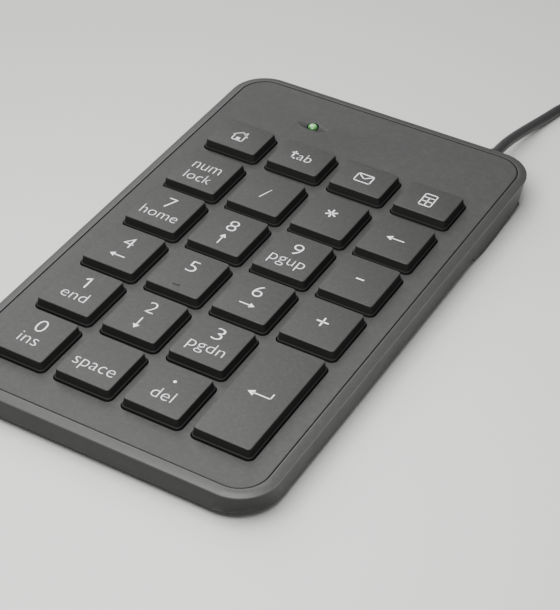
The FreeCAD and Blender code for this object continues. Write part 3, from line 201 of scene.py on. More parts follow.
def makeDust(shape):
    # faint pale dust that settles on what faces up
    group, start, end = newGroup("dust", [
        ("Vector", "NodeSocketVector", None),
        ("Colour", "NodeSocketColor", (0.05, 0.05, 0.05, 1)),
        ("Dust Colour", "NodeSocketColor", (0.35, 0.34, 0.32, 1)),
        ("Amount", "NodeSocketFloat", 0.05),
    ], [("Colour", "NodeSocketColor")])
    geometry = group.nodes.new("ShaderNodeNewGeometry")
    apart = group.nodes.new("ShaderNodeSeparateXYZ")
    wire(group, geometry.outputs["Normal"], apart.inputs[0])
    up = stretch(group, apart.outputs["Z"], shape["upGain"], shape["upOffset"])
    spots = addNoise(group, start.outputs["Vector"], shape["spotScale"], detail=5.0, roughness=0.75)
    spots = stretch(group, spots, shape["spotGain"], shape["spotOffset"])
    amount = addMath(group, "MULTIPLY", spots, start.outputs["Amount"])
    mask = addMath(group, "MULTIPLY", up, amount, True)
    dusty = mixColour(group, mask, start.outputs["Colour"], start.outputs["Dust Colour"])
    wire(group, dusty, end.inputs["Colour"])
    return group


mouldedPlastic = makeMouldedPlastic(grainShape)
edgeWearAndHighlight = makeEdgeWearAndHighlight(wearAndHighlightShape)
dust = makeDust(dustShape)
print("shader groups made")


def grey(value, tint=(1.0, 1.0, 1.0)):
    return (value * tint[0], value * tint[1], value * tint[2], 1.0)


def makePlastic(look):
    # one finish: grain, wear and a painted highlight on the edges, a little dust, painted shade below a level
    # where the look gives one, and bump
    material = bpy.data.materials.new(look["name"])
    material.use_nodes = True
    tree = material.node_tree
    shader = tree.nodes["Principled BSDF"]
    shader.inputs["Specular IOR Level"].default_value = look.get("specular", 0.5)
    shader.inputs["Metallic"].default_value = look.get("metallic", 0.0)
    place = tree.nodes.new("ShaderNodeTexCoord")
    grain = tree.nodes.new("ShaderNodeGroup")
    grain.node_tree = mouldedPlastic
    grain.inputs["Colour"].default_value = look["dark"]
    grain.inputs["Light Colour"].default_value = look["light"]
    grain.inputs["Grain Scale"].default_value = look["grain"]
    grain.inputs["Roughness"].default_value = look["roughness"]
    grain.inputs["Roughness Spread"].default_value = grainShape["roughnessSpread"]
    wearAndHighlight = tree.nodes.new("ShaderNodeGroup")
    wearAndHighlight.node_tree = edgeWearAndHighlight
    wearAndHighlight.inputs["Worn And Highlight Colour"].default_value = look["wornAndHighlight"]
    wearAndHighlight.inputs["Amount"].default_value = look["wearAndHighlight"]
    settle = tree.nodes.new("ShaderNodeGroup")
    settle.node_tree = dust
    settle.inputs["Amount"].default_value = look["dust"]
    bump = tree.nodes.new("ShaderNodeBump")
    bump.inputs["Strength"].default_value = look["bump"]
    bump.inputs["Distance"].default_value = grainShape["bumpDistance"]
    for node in (grain, wearAndHighlight, settle):
        wire(tree, place.outputs["Object"], node.inputs["Vector"])
    wire(tree, grain.outputs["Colour"], wearAndHighlight.inputs["Colour"])
    wire(tree, wearAndHighlight.outputs["Colour"], settle.inputs["Colour"])
    colour = settle.outputs["Colour"]
    if "hollowTop" in look:
        # painted shade: the tone deepens below a level, in the plate's recess and openings and down the
        # bezel's side
        apart = tree.nodes.new("ShaderNodeSeparateXYZ")
        wire(tree, place.outputs["Object"], apart.inputs[0])
        below = tree.nodes.new("ShaderNodeMapRange")
        below.inputs["From Min"].default_value = look["hollowTop"]
        below.inputs["From Max"].default_value = look["hollowTop"] - look["hollowDepth"]
        below.inputs["To Max"].default_value = look["hollowAmount"]
        wire(tree, apart.outputs["Z"], below.inputs["Value"])
        colour = mixColour(tree, below.outputs[0], colour, look["hollow"])
    wire(tree, colour, shader.inputs["Base Color"])
    wire(tree, grain.outputs["Roughness"], shader.inputs["Roughness"])
    wire(tree, grain.outputs["Height"], bump.inputs["Height"])
    wire(tree, bump.outputs["Normal"], shader.inputs["Normal"])
    return material


# finishes: greys and colours are linear, painted-shade levels are heights over the desk
warm = (1.0, 1.0, 0.965)  # leans a grey a little to olive
# the plate's tone below its top is painted shade in the light's recess and round the key openings
plateLook = {"name": "plate plastic", "dark": grey(0.022, warm), "light": grey(0.04, warm),
             "wornAndHighlight": grey(0.09), "grain": 2600.0, "roughness": 0.52, "bump": 0.35, "wearAndHighlight": 0.4, "dust": 0.05,
             "hollowTop": 0.00942, "hollowDepth": 0.00036, "hollowAmount": 0.9, "hollow": grey(0.003)}
# the bezel's pale worn colour is a painted highlight along its outer edge, and its tone below that edge is
# painted shade down its side
bezelLook = {"name": "bezel plastic", "dark": grey(0.035, warm), "light": grey(0.053, warm),
             "wornAndHighlight": grey(0.3), "grain": 2400.0, "roughness": 0.4, "bump": 0.2, "wearAndHighlight": 1.0, "dust": 0.04,
             "hollowTop": 0.0088, "hollowDepth": 0.0001, "hollowAmount": 0.95, "hollow": grey(0.004)}
caseLook = {"name": "case plastic", "dark": grey(0.004, warm), "light": grey(0.007, warm),
            "wornAndHighlight": grey(0.04), "grain": 1600.0, "roughness": 0.36, "bump": 0.08, "wearAndHighlight": 0.5, "dust": 0.02,
            "specular": 0.2}
keyLook = {"name": "key plastic", "dark": grey(0.022, warm), "light": grey(0.043, warm),
           "wornAndHighlight": grey(0.11), "grain": 3000.0, "roughness": 0.5, "bump": 0.45, "wearAndHighlight": 0.3, "dust": 0.06}
# the key walls are darker than the faces: painted shade on the keys' sides
shadedKeyWallLook = {"name": "key wall plastic in painted shade", "dark": grey(0.014, warm), "light": grey(0.019, warm),
               "wornAndHighlight": grey(0.027), "grain": 2600.0, "roughness": 0.5, "bump": 0.15, "wearAndHighlight": 0.2, "dust": 0.0,
               "specular": 0.1}
guideLook = {"name": "guide plastic", "dark": grey(0.01), "light": grey(0.016), "wornAndHighlight": grey(0.05),
             "grain": 1800.0, "roughness": 0.55, "bump": 0.2, "wearAndHighlight": 0.2, "dust": 0.0}
rubberLook = {"name": "foot rubber", "dark": grey(0.018), "light": grey(0.03), "wornAndHighlight": grey(0.07),
              "grain": 1500.0, "roughness": 0.78, "bump": 0.5, "wearAndHighlight": 0.6, "dust": 0.08}
sheetLook = {"name": "dome rubber", "dark": grey(0.4), "light": grey(0.5), "wornAndHighlight": grey(0.6),
             "grain": 900.0, "roughness": 0.6, "bump": 0.2, "wearAndHighlight": 0.2, "dust": 0.0}
filmLook = {"name": "membrane film", "dark": grey(0.42, (1, 1.02, 0.98)), "light": grey(0.55),
            "wornAndHighlight": grey(0.6), "grain": 700.0, "roughness": 0.25, "bump": 0.05, "wearAndHighlight": 0.1, "dust": 0.0}
boardLook = {"name": "board mask", "dark": (0.008, 0.06, 0.025, 1), "light": (0.015, 0.11, 0.045, 1),
             "wornAndHighlight": grey(0.3), "grain": 1200.0, "roughness": 0.3, "bump": 0.15, "wearAndHighlight": 0.3, "dust": 0.0}
chipLook = {"name": "chip resin", "dark": grey(0.012), "light": grey(0.022), "wornAndHighlight": grey(0.08),
            "grain": 4000.0, "roughness": 0.5, "bump": 0.3, "wearAndHighlight": 0.3, "dust": 0.0}
foamLook = {"name": "strip foam", "dark": grey(0.03), "light": grey(0.06), "wornAndHighlight": grey(0.08),
            "grain": 2500.0, "roughness": 0.95, "bump": 0.9, "wearAndHighlight": 0.1, "dust": 0.0}
socketLook = {"name": "socket nylon", "dark": (0.55, 0.52, 0.44, 1), "light": (0.68, 0.65, 0.56, 1),
              "wornAndHighlight": grey(0.8), "grain": 1500.0, "roughness": 0.45, "bump": 0.1, "wearAndHighlight": 0.2, "dust": 0.0}
coreLook = {"name": "core insulation", "dark": (0.32, 0.03, 0.02, 1), "light": (0.42, 0.05, 0.03, 1),
            "wornAndHighlight": grey(0.4), "grain": 1500.0, "roughness": 0.45, "bump": 0.1, "wearAndHighlight": 0.1, "dust": 0.0}
cableLook = {"name": "cable jacket", "dark": grey(0.022), "light": grey(0.034), "wornAndHighlight": grey(0.06),
             "grain": 1800.0, "roughness": 0.42, "bump": 0.2, "wearAndHighlight": 0.2, "dust": 0.04}
tieLook = {"name": "tie nylon", "dark": grey(0.016), "light": grey(0.028), "wornAndHighlight": grey(0.09),
           "grain": 1500.0, "roughness": 0.4, "bump": 0.2, "wearAndHighlight": 0.6, "dust": 0.02}
plugLook = {"name": "plug overmould", "dark": grey(0.018), "light": grey(0.03), "wornAndHighlight": grey(0.08),
            "grain": 2200.0, "roughness": 0.55, "bump": 0.5, "wearAndHighlight": 0.5, "dust": 0.03}
tongueLook = {"name": "tongue plastic", "dark": grey(0.6), "light": grey(0.72), "wornAndHighlight": grey(0.8),
              "grain": 1500.0, "roughness": 0.4, "bump": 0.1, "wearAndHighlight": 0.1, "dust": 0.0}
screwLook = {"name": "screw zinc", "dark": grey(0.09), "light": grey(0.15), "wornAndHighlight": grey(0.5),
             "grain": 2500.0, "roughness": 0.32, "bump": 0.2, "wearAndHighlight": 0.9, "dust": 0.0, "metallic": 1.0}
wireLook = {"name": "spring wire steel", "dark": grey(0.42), "light": grey(0.55), "wornAndHighlight": grey(0.7),
            "grain": 2500.0, "roughness": 0.26, "bump": 0.1, "wearAndHighlight": 0.4, "dust": 0.0, "metallic": 1.0}
shellLook = {"name": "shell nickel", "dark": grey(0.52), "light": grey(0.64), "wornAndHighlight": grey(0.8),
             "grain": 1200.0, "roughness": 0.2, "bump": 0.06, "wearAndHighlight": 0.5, "dust": 0.0, "metallic": 1.0}
contactLook = {"name": "contact gold", "dark": (0.6, 0.4, 0.12, 1), "light": (0.75, 0.55, 0.2, 1),
               "wornAndHighlight": (0.85, 0.7, 0.4, 1), "grain": 1800.0, "roughness": 0.22, "bump": 0.05, "wearAndHighlight": 0.3,
               "dust": 0.0, "metallic": 1.0}
inkLook = {"name": "legend ink", "dark": grey(0.9), "light": grey(0.97), "wornAndHighlight": grey(0.85), "grain": 2600.0,
           "roughness": 0.5, "bump": 0.1, "wearAndHighlight": 0.1, "dust": 0.0}

looks = {look["name"]: makePlastic(look) for look in (
    plateLook, bezelLook, caseLook, keyLook, shadedKeyWallLook, guideLook, rubberLook, sheetLook, filmLook,
    boardLook, chipLook, foamLook, socketLook, coreLook, cableLook, tieLook, plugLook, tongueLook,
    screwLook, wireLook, shellLook, contactLook, inkLook)}

nodeLooks = {
    "top_plate": "plate plastic", "top_frame": "bezel plastic", "bottom_case": "case plastic",
    "key_guide_frame": "guide plastic", "dome_sheet": "dome rubber", "membrane_upper": "membrane film",
    "membrane_spacer": "membrane film", "membrane_lower": "membrane film", "controller_board": "board mask",
    "controller_chip": "chip resin", "board_components": "chip resin", "pressure_strip": "strip foam",
    "board_screws": "screw zinc", "case_screws": "screw zinc", "front_feet": "foot rubber",
    "rear_feet": "foot rubber", "cable_grommet": "plug overmould", "inner_cable": "cable jacket",
    "cable_wires": "core insulation", "cable_socket": "socket nylon", "enter_stabiliser": "spring wire steel",
    "cable_ties": "tie nylon", "plug_body": "plug overmould", "plug_shell": "shell nickel",
    "plug_tongue": "tongue plastic", "plug_contacts": "contact gold",
}


def dress(piece, material):
    piece.data.materials.clear()
    piece.data.materials.append(material)


# the lens's pale middle is a painted highlight
ledLook = {"centre": (-0.016, 0.0581), "paintedHighlight": (0.34, 0.72, 0.3, 1), "body": (0.09, 0.36, 0.08, 1),
           "rim": (0.008, 0.035, 0.008, 1), "paintedHighlightRadius": 0.0005, "bodyAt": 0.45, "rimRadius": 0.0015,
           "swirlScale": 1500.0, "swirl": 0.3, "roughness": 0.12, "coat": 0.6, "coatRoughness": 0.05}


def makeLedLens(look):
    # tinted resin, deep green towards the rim, with a painted highlight that is pale in the middle
    material = bpy.data.materials.new("light lens")
    material.use_nodes = True
    tree = material.node_tree
    shader = tree.nodes["Principled BSDF"]
    shader.inputs["Roughness"].default_value = look["roughness"]
    shader.inputs["Coat Weight"].default_value = look["coat"]
    shader.inputs["Coat Roughness"].default_value = look["coatRoughness"]
    place = tree.nodes.new("ShaderNodeTexCoord")
    flat = tree.nodes.new("ShaderNodeVectorMath")
    flat.operation = "MULTIPLY"
    flat.inputs[1].default_value = (1, 1, 0)
    wire(tree, place.outputs["Object"], flat.inputs[0])
    apart = tree.nodes.new("ShaderNodeVectorMath")
    apart.operation = "DISTANCE"
    apart.inputs[1].default_value = (*look["centre"], 0)
    wire(tree, flat.outputs[0], apart.inputs[0])
    ramp = tree.nodes.new("ShaderNodeMapRange")
    ramp.inputs["From Min"].default_value = look["paintedHighlightRadius"]
    ramp.inputs["From Max"].default_value = look["rimRadius"]
    wire(tree, apart.outputs["Value"], ramp.inputs["Value"])
    swirl = addNoise(tree, place.outputs["Object"], look["swirlScale"], detail=2.0)
    tones = tree.nodes.new("ShaderNodeValToRGB")
    tones.color_ramp.elements[0].color = look["paintedHighlight"]
    tones.color_ramp.elements[1].color = look["rim"]
    tones.color_ramp.elements.new(look["bodyAt"]).color = look["body"]
    shade = addMath(tree, "ADD", ramp.outputs[0], addMath(tree, "MULTIPLY", swirl, look["swirl"]))
    wire(tree, addMath(tree, "SUBTRACT", shade, look["swirl"] / 2, True), tones.inputs["Fac"])
    wire(tree, tones.outputs["Color"], shader.inputs["Base Color"])
    return material


dress(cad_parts["status_led"], makeLedLens(ledLook))
for nodeName, lookName in nodeLooks.items():
    dress(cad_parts[nodeName], looks[lookName])
print("finishes made")

# outer shells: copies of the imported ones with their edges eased, so that they catch the light
shellEdges = {"top_frame": 0.14, "bottom_case": 0.2}
shellEase = {"weld": 0.001, "flatAngle": 0.2, "sharpAngle": 50, "segments": 2, "evenWeight": 100,
             "evenLimit": 0.001}


def easeShell(name, width):
    shell = addObject(f"{name}_shell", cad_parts[name].data.copy())
    mesh = bmesh.new()
    mesh.from_mesh(shell.data)
    bmesh.ops.remove_doubles(mesh, verts=mesh.verts[:], dist=shellEase["weld"] * mm)
    bmesh.ops.dissolve_limit(mesh, angle_limit=math.radians(shellEase["flatAngle"]), verts=mesh.verts[:],
                             edges=mesh.edges[:])
    bmesh.ops.recalc_face_normals(mesh, faces=mesh.faces[:])
    mesh.to_mesh(shell.data)
    mesh.free()
    ease = shell.modifiers.new("eased edges", "BEVEL")
    ease.width = width * mm
    ease.segments = shellEase["segments"]
    ease.limit_method = "ANGLE"
    ease.angle_limit = math.radians(shellEase["sharpAngle"])
    shell.data.shade_smooth()
    # the broad faces keep their own direction, so only the eased edges turn
    evenOut = shell.modifiers.new("even shading", "WEIGHTED_NORMAL")
    evenOut.weight = shellEase["evenWeight"]
    evenOut.thresh = shellEase["evenLimit"]
    evenOut.use_face_influence = False
    shell.data = bakeMesh(shell)
    shell.modifiers.clear()
    dress(shell, looks[nodeLooks[name]])
    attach(shell, "case")
    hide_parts(name)


for shellName, edgeWidth in shellEdges.items():
    easeShell(shellName, edgeWidth)
print("shells eased")

# cable: the route's points are in millimetres
cable = {
    "radius": 0.0015,
    "exit": (0.031, 0.0766, 0.0058),
    "length": 1.03,
    "lead": [(31, 76.6, 5.8), (31, 80.2, 5.7), (31.2, 86.5, 4.75), (31.8, 93, 3.5), (32.6, 99.5, 2.3),
             (33.8, 106, 1.5), (35.6, 113, 1.5), (40.5, 120.5, 1.5), (49, 127, 1.5), (60, 129.7, 1.7)],
    "coilCentre": (75.0, 105.0),
    "startTurn": 90.0,
    "pointsPerTurn": 16,
    "alongSteps": 8,
    "roundSteps": 4,
    "inTurns": 4.0,
    "outTurns": 3.75,
    "outerRadius": 24.0,
    "innerRadius": 12.0,
    "lowLevel": 2.2,
    "highLevel": 5.2,
    "tail": [(98.5, 96, 4.4), (98.2, 87, 2.4), (97.4, 78, 2.0), (96.2, 70.5, 3.6), (96.2, 63, 3.9)],
}


def coilPoints(coil):
    # clockwise: a flat spiral in, half a turn up, and a flat spiral out on top
    points = []
    step = 360.0 / coil["pointsPerTurn"]
    span = coil["outerRadius"] - coil["innerRadius"]
    inCount = int(coil["inTurns"] * coil["pointsPerTurn"])
    outCount = int(coil["outTurns"] * coil["pointsPerTurn"])
    rampCount = coil["pointsPerTurn"] // 2
    angle = coil["startTurn"]
    for index in range(inCount + 1):
        radius = coil["outerRadius"] - span * index / inCount
        points.append((angle, radius, coil["lowLevel"]))
        angle -= step
    for index in range(1, rampCount):
        rise = (coil["highLevel"] - coil["lowLevel"]) * index / rampCount
        points.append((angle, coil["innerRadius"], coil["lowLevel"] + rise))
        angle -= step
    for index in range(outCount + 1):
        radius = coil["innerRadius"] + span * index / outCount
        points.append((angle, radius, coil["highLevel"]))
        angle -= step
    centreX, centreY = coil["coilCentre"]
    placed = []
    for turn, radius, level in points:
        swing = math.radians(turn)
        placed.append((centreX + radius * math.cos(swing), centreY + radius * math.sin(swing), level))
    return placed


def makeCable(coil):
    curve = bpy.data.curves.new("usb_cable", "CURVE")
    curve.dimensions = "3D"
    route = coil["lead"] + coilPoints(coil) + coil["tail"]
    spline = curve.splines.new("NURBS")
    spline.points.add(len(route) - 1)
    for point, (x, y, z) in zip(spline.points, route):
        point.co = (x * mm, y * mm, z * mm, 1.0)
    spline.order_u = 3
    spline.use_endpoint_u = True
    spline.resolution_u = coil["alongSteps"]
    curve.bevel_depth = coil["radius"]
    curve.bevel_resolution = coil["roundSteps"]
    curve.use_fill_caps = True
    piece = addObject("usb_cable", curve)
    dress(piece, looks["cable jacket"])
    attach(piece, "case")
    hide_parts("cable_lead", "cable_coil", "cable_tail")


makeCable(cable)
print("cable laid")

# floor and light
studio = {
    "floor": (0.74, 0.735, 0.72),
    "floorSize": 6.0,
    "floorRoughness": 0.8,
    "patchScale": 6.0,
    "patchTone": 0.97,
    "world": 0.33,
    "key": {"place": (0.012, -0.1, 0.24), "size": 0.2, "power": 1.15},
    "fill": {"place": (-0.5, 0.3, 0.6), "size": 0.7, "power": 4.2},
}


def makeStudio(setup):
    bpy.ops.mesh.primitive_plane_add(size=setup["floorSize"], location=(0, 0, 0))
    floor = bpy.context.active_object
    floor.name = "studio_floor"
    material = bpy.data.materials.new("studio floor")
    material.use_nodes = True
    tree = material.node_tree
    shader = tree.nodes["Principled BSDF"]
    shader.inputs["Roughness"].default_value = setup["floorRoughness"]
    place = tree.nodes.new("ShaderNodeTexCoord")
    patch = addNoise(tree, place.outputs["Object"], setup["patchScale"], detail=3.0)
    pale = (*setup["floor"], 1)
    deeper = tuple(value * setup["patchTone"] for value in setup["floor"]) + (1,)
    wire(tree, mixColour(tree, patch, pale, deeper), shader.inputs["Base Color"])
    floor.data.materials.append(material)
    world = bpy.data.worlds.new("studio")
    world.use_nodes = True
    background = world.node_tree.nodes["Background"]
    background.inputs["Color"].default_value = (1, 1, 1, 1)
    background.inputs["Strength"].default_value = setup["world"]
    scene.world = world
    for name in ("key", "fill"):
        lamp = setup[name]
        data = bpy.data.lights.new(f"{name} light", "AREA")
        data.size = lamp["size"]
        data.energy = lamp["power"]
        light = addObject(f"{name} light", data)
        light.location = lamp["place"]
        towards = Vector((0, 0, 0)) - Vector(lamp["place"])
        light.rotation_euler = towards.to_track_quat("-Z", "Y").to_euler()


makeStudio(studio)
print("studio lit")

# keycaps, grown by one geometry tree; sizes in millimetres, heights over the desk
keyShape = {
    "width": 15.0, "depth": 15.6, "functionDepth": 11.6, "enterDepth": 34.6,
    "corner": 0.85, "edge": 0.22, "flare": 0.3,
    "flange": 0.65, "flangeCorner": 1.45, "flangeEdge": 0.16,
    "top": 12.3, "shoulder": 10.1, "foot": 8.7, "roof": 11.2, "wall": 0.8,
    "stem": 6.0, "stemFoot": 6.8, "stemOverlap": 0.2, "barb": 6.8, "barbDepth": 3.0, "barbHeight": 0.3,
    "weld": 0.001, "outlinePoints": 48, "flangeSteps": 3, "edgeSteps": 4, "sharpAngle": 12,
    "flangeFoot": 0.6,  # how far the flange's lower edge is cut, as a share of its rounding
    "flareCorner": 0.6,  # how much of the flare the corner's radius takes
    "facePaint": 0.99,  # how far down the rounded edge the face's finish reaches
}
keyPitch = 19.0
rowPlaces = [40.5, 22.1, 3.1, -15.9, -34.9, -53.9]
columnPlaces = [keyPitch * step for step in (-1.5, -0.5, 0.5, 1.5)]
keyNames = [
    ["home_page", "tab", "mail", "calculator"],
    ["num_lock", "divide", "multiply", "backspace"],
    ["7", "8", "9", "minus"],
    ["4", "5", "6", "plus"],
    ["1", "2", "3", "enter"],
    ["0", "space", "decimal"],
]


def newTree(name, inputs):
    tree = bpy.data.node_groups.new(name, "GeometryNodeTree")
    tree.interface.new_socket("Geometry", in_out="INPUT", socket_type="NodeSocketGeometry")
    for label, value in inputs:
        tree.interface.new_socket(label, in_out="INPUT", socket_type="NodeSocketFloat").default_value = value
    tree.interface.new_socket("Geometry", in_out="OUTPUT", socket_type="NodeSocketGeometry")
    return tree, tree.nodes.new("NodeGroupInput"), tree.nodes.new("NodeGroupOutput")


def addUp(tree, start, terms):
    # a sum of inputs, each with its own factor
    total = None
    for label, factor in terms:
        part = addMath(tree, "MULTIPLY", start.outputs[label], factor)
        total = part if total is None else addMath(tree, "ADD", total, part)
    return total


def ringPlace(tree, direction, halfWidth, halfDepth, corner, height):
    # a point of a rounded rectangle: the corner's centre plus the corner's radius in that direction
    apart = tree.nodes.new("ShaderNodeSeparateXYZ")
    wire(tree, direction, apart.inputs[0])
    joined = tree.nodes.new("ShaderNodeCombineXYZ")
    for axis, half in (("X", halfWidth), ("Y", halfDepth)):
        side = addMath(tree, "SIGN", apart.outputs[axis])
        middle = addMath(tree, "MULTIPLY", side, addMath(tree, "SUBTRACT", half, corner))
        around = addMath(tree, "MULTIPLY", apart.outputs[axis], corner)
        wire(tree, addMath(tree, "ADD", middle, around), joined.inputs[axis])
    wire(tree, height, joined.inputs["Z"])
    return joined.outputs[0]


def capRings(shape):
    # from the hollow's roof, down inside, out under the foot, and up outside to the face:
    # how far out from the face's outline, how round, and how high
    foot = shape["flangeFoot"]
    rings = [
        ([("Wall", -1)], [("Corner", 1)], [("Roof", 1)]),
        ([("Wall", -1)], [("Corner", 1)], [("Foot", 1)]),
        ([("Flange", 1), ("Flange Edge", -foot)], [("Flange Corner", 1)], [("Foot", 1)]),
        ([("Flange", 1)], [("Flange Corner", 1)], [("Foot", 1), ("Flange Edge", foot)]),
        ([("Flange", 1)], [("Flange Corner", 1)], [("Shoulder", 1), ("Flange Edge", -1)]),
    ]
    for step in range(1, shape["flangeSteps"] + 1):
        swing = math.radians(90 * step / shape["flangeSteps"])
        inward = [("Flange", 1), ("Flange Edge", math.cos(swing) - 1)]
        level = [("Shoulder", 1), ("Flange Edge", math.sin(swing) - 1)]
        rings.append((inward, [("Flange Corner", 1)], level))
    rings.append(([("Flare", 1)], [("Corner", 1), ("Flare", shape["flareCorner"])], [("Shoulder", 1)]))
    for step in range(shape["edgeSteps"] + 1):
        swing = math.radians(90 * step / shape["edgeSteps"])
        inward = [("Edge", math.cos(swing) - 1)]
        rings.append((inward, [("Corner", 1)] + inward, [("Top", 1), ("Edge", math.sin(swing) - 1)]))
    return rings


def addBlock(tree, across, along, low, high):
    # a box on the key's centre line, between two heights
    block = tree.nodes.new("GeometryNodeMeshCube")
    dimensions = tree.nodes.new("ShaderNodeCombineXYZ")
    wire(tree, across, dimensions.inputs["X"])
    wire(tree, along, dimensions.inputs["Y"])
    wire(tree, addMath(tree, "SUBTRACT", high, low), dimensions.inputs["Z"])
    wire(tree, dimensions.outputs[0], block.inputs["Size"])
    middle = tree.nodes.new("ShaderNodeCombineXYZ")
    wire(tree, addMath(tree, "MULTIPLY", addMath(tree, "ADD", low, high), 0.5), middle.inputs["Z"])
    move = tree.nodes.new("GeometryNodeTransform")
    wire(tree, block.outputs["Mesh"], move.inputs["Geometry"])
    wire(tree, middle.outputs[0], move.inputs["Translation"])
    return move.outputs[0]


def makeKeycapTree(shape):
    tree, start, end = newTree("keycap", [
        ("Width", shape["width"] * mm), ("Depth", shape["depth"] * mm), ("Corner", shape["corner"] * mm),
        ("Edge", shape["edge"] * mm), ("Flare", shape["flare"] * mm), ("Flange", shape["flange"] * mm),
        ("Flange Corner", shape["flangeCorner"] * mm), ("Flange Edge", shape["flangeEdge"] * mm),
        ("Top", shape["top"] * mm), ("Shoulder", shape["shoulder"] * mm), ("Foot", shape["foot"] * mm),
        ("Roof", shape["roof"] * mm), ("Wall", shape["wall"] * mm), ("Stem", shape["stem"] * mm),
        ("Stem Foot", shape["stemFoot"] * mm), ("Barb", shape["barb"] * mm),
        ("Barb Depth", shape["barbDepth"] * mm), ("Centre X", 0.0), ("Centre Y", 0.0)])
    circle = tree.nodes.new("GeometryNodeCurvePrimitiveCircle")
    circle.inputs["Resolution"].default_value = shape["outlinePoints"]
    circle.inputs["Radius"].default_value = 1.0
    spin = tree.nodes.new("GeometryNodeTransform")
    halfStep = math.radians(180 / shape["outlinePoints"])  # turned by this, no point lies on an axis
    spin.inputs["Rotation"].default_value = (0, 0, halfStep)
    wire(tree, circle.outputs["Curve"], spin.inputs["Geometry"])
    fill = tree.nodes.new("GeometryNodeFillCurve")
    fill.mode = "NGONS"
    wire(tree, spin.outputs[0], fill.inputs["Curve"])
    where = tree.nodes.new("GeometryNodeInputPosition")
    keep = tree.nodes.new("GeometryNodeCaptureAttribute")
    keep.capture_items.new("VECTOR", "Direction")
    wire(tree, fill.outputs[0], keep.inputs["Geometry"])
    wire(tree, where.outputs[0], keep.inputs["Direction"])
    direction = keep.outputs["Direction"]
    halfWidth = addMath(tree, "MULTIPLY", start.outputs["Width"], 0.5)
    halfDepth = addMath(tree, "MULTIPLY", start.outputs["Depth"], 0.5)
    shell, roof, selected = keep.outputs["Geometry"], None, None
    for out, corner, height in capRings(shape):
        reach = addUp(tree, start, out)
        place = ringPlace(tree, direction, addMath(tree, "ADD", halfWidth, reach),
                          addMath(tree, "ADD", halfDepth, reach), addUp(tree, start, corner),
                          addUp(tree, start, height))
        if roof is not None:
            grow = tree.nodes.new("GeometryNodeExtrudeMesh")
            grow.mode = "FACES"
            grow.inputs["Offset Scale"].default_value = 0.0
            grow.inputs["Individual"].default_value = False
            wire(tree, shell, grow.inputs["Mesh"])
            if selected is not None:
                wire(tree, selected, grow.inputs["Selection"])
            shell, selected = grow.outputs["Mesh"], grow.outputs["Top"]
        move = tree.nodes.new("GeometryNodeSetPosition")
        wire(tree, shell, move.inputs["Geometry"])
        wire(tree, place, move.inputs["Position"])
        if selected is not None:
            wire(tree, selected, move.inputs["Selection"])
        shell = move.outputs[0]
        if roof is None:
            flip = tree.nodes.new("GeometryNodeFlipFaces")
            wire(tree, shell, flip.inputs["Mesh"])
            roof = flip.outputs[0]
    stemFoot = start.outputs["Stem Foot"]
    overlap = addMath(tree, "ADD", start.outputs["Roof"], shape["stemOverlap"] * mm)
    stem = addBlock(tree, start.outputs["Stem"], start.outputs["Stem"], stemFoot, overlap)
    barbTop = addMath(tree, "ADD", stemFoot, shape["barbHeight"] * mm)
    barbs = addBlock(tree, start.outputs["Barb"], start.outputs["Barb Depth"], stemFoot, barbTop)
    skin = tree.nodes.new("GeometryNodeJoinGeometry")
    wire(tree, shell, skin.inputs[0])
    wire(tree, roof, skin.inputs[0])
    weld = tree.nodes.new("GeometryNodeMergeByDistance")
    weld.inputs["Distance"].default_value = shape["weld"] * mm
    wire(tree, skin.outputs[0], weld.inputs["Geometry"])
    whole = tree.nodes.new("GeometryNodeJoinGeometry")
    for part in (weld.outputs[0], stem, barbs):
        wire(tree, part, whole.inputs[0])
    centre = tree.nodes.new("ShaderNodeCombineXYZ")
    wire(tree, start.outputs["Centre X"], centre.inputs["X"])
    wire(tree, start.outputs["Centre Y"], centre.inputs["Y"])
    move = tree.nodes.new("GeometryNodeTransform")
    wire(tree, whole.outputs[0], move.inputs["Geometry"])
    wire(tree, centre.outputs[0], move.inputs["Translation"])
    real = tree.nodes.new("GeometryNodeRealizeInstances")
    wire(tree, move.outputs[0], real.inputs["Geometry"])
    # the cap first takes the darker wall material, painted shade on its sides; the face is then given the key
    # plastic
    walls = tree.nodes.new("GeometryNodeSetMaterial")
    walls.inputs["Material"].default_value = looks["key wall plastic in painted shade"]
    wire(tree, real.outputs[0], walls.inputs["Geometry"])
    height = tree.nodes.new("ShaderNodeSeparateXYZ")
    wire(tree, where.outputs[0], height.inputs[0])
    paint = addMath(tree, "MULTIPLY", start.outputs["Edge"], shape["facePaint"])
    rim = addMath(tree, "SUBTRACT", start.outputs["Top"], paint)
    face = tree.nodes.new("GeometryNodeSetMaterial")
    face.inputs["Material"].default_value = looks["key plastic"]
    wire(tree, walls.outputs[0], face.inputs["Geometry"])
    wire(tree, addMath(tree, "GREATER_THAN", height.outputs["Z"], rim), face.inputs["Selection"])
    wire(tree, face.outputs[0], end.inputs["Geometry"])
    return tree


def setInputs(modifier, values):
    for item in modifier.node_group.interface.items_tree:
        if item.in_out == "INPUT" and item.name in values:
            modifier[item.identifier] = values[item.name]


def growMesh(tree, name, values):
    # evaluates a tree on an empty mesh and keeps the plain result
    seed = addObject(name, bpy.data.meshes.new(f"{name} seed"))
    modifier = seed.modifiers.new("grow", "NODES")
    modifier.node_group = tree
    setInputs(modifier, values)
    seed.data = bakeMesh(seed)
    seed.modifiers.clear()
    seed.data.name = name
    return seed


def keyPlaces():
    # name, centre and depth of each key, row by row; the enter key spans two rows
    for row, names in enumerate(keyNames):
        for column, name in enumerate(names):
            y, depth = rowPlaces[row], keyShape["functionDepth"] if row == 0 else keyShape["depth"]
            if name == "enter":
                y, depth = (rowPlaces[row] + rowPlaces[row + 1]) / 2, keyShape["enterDepth"]
            yield name, columnPlaces[column], y, depth


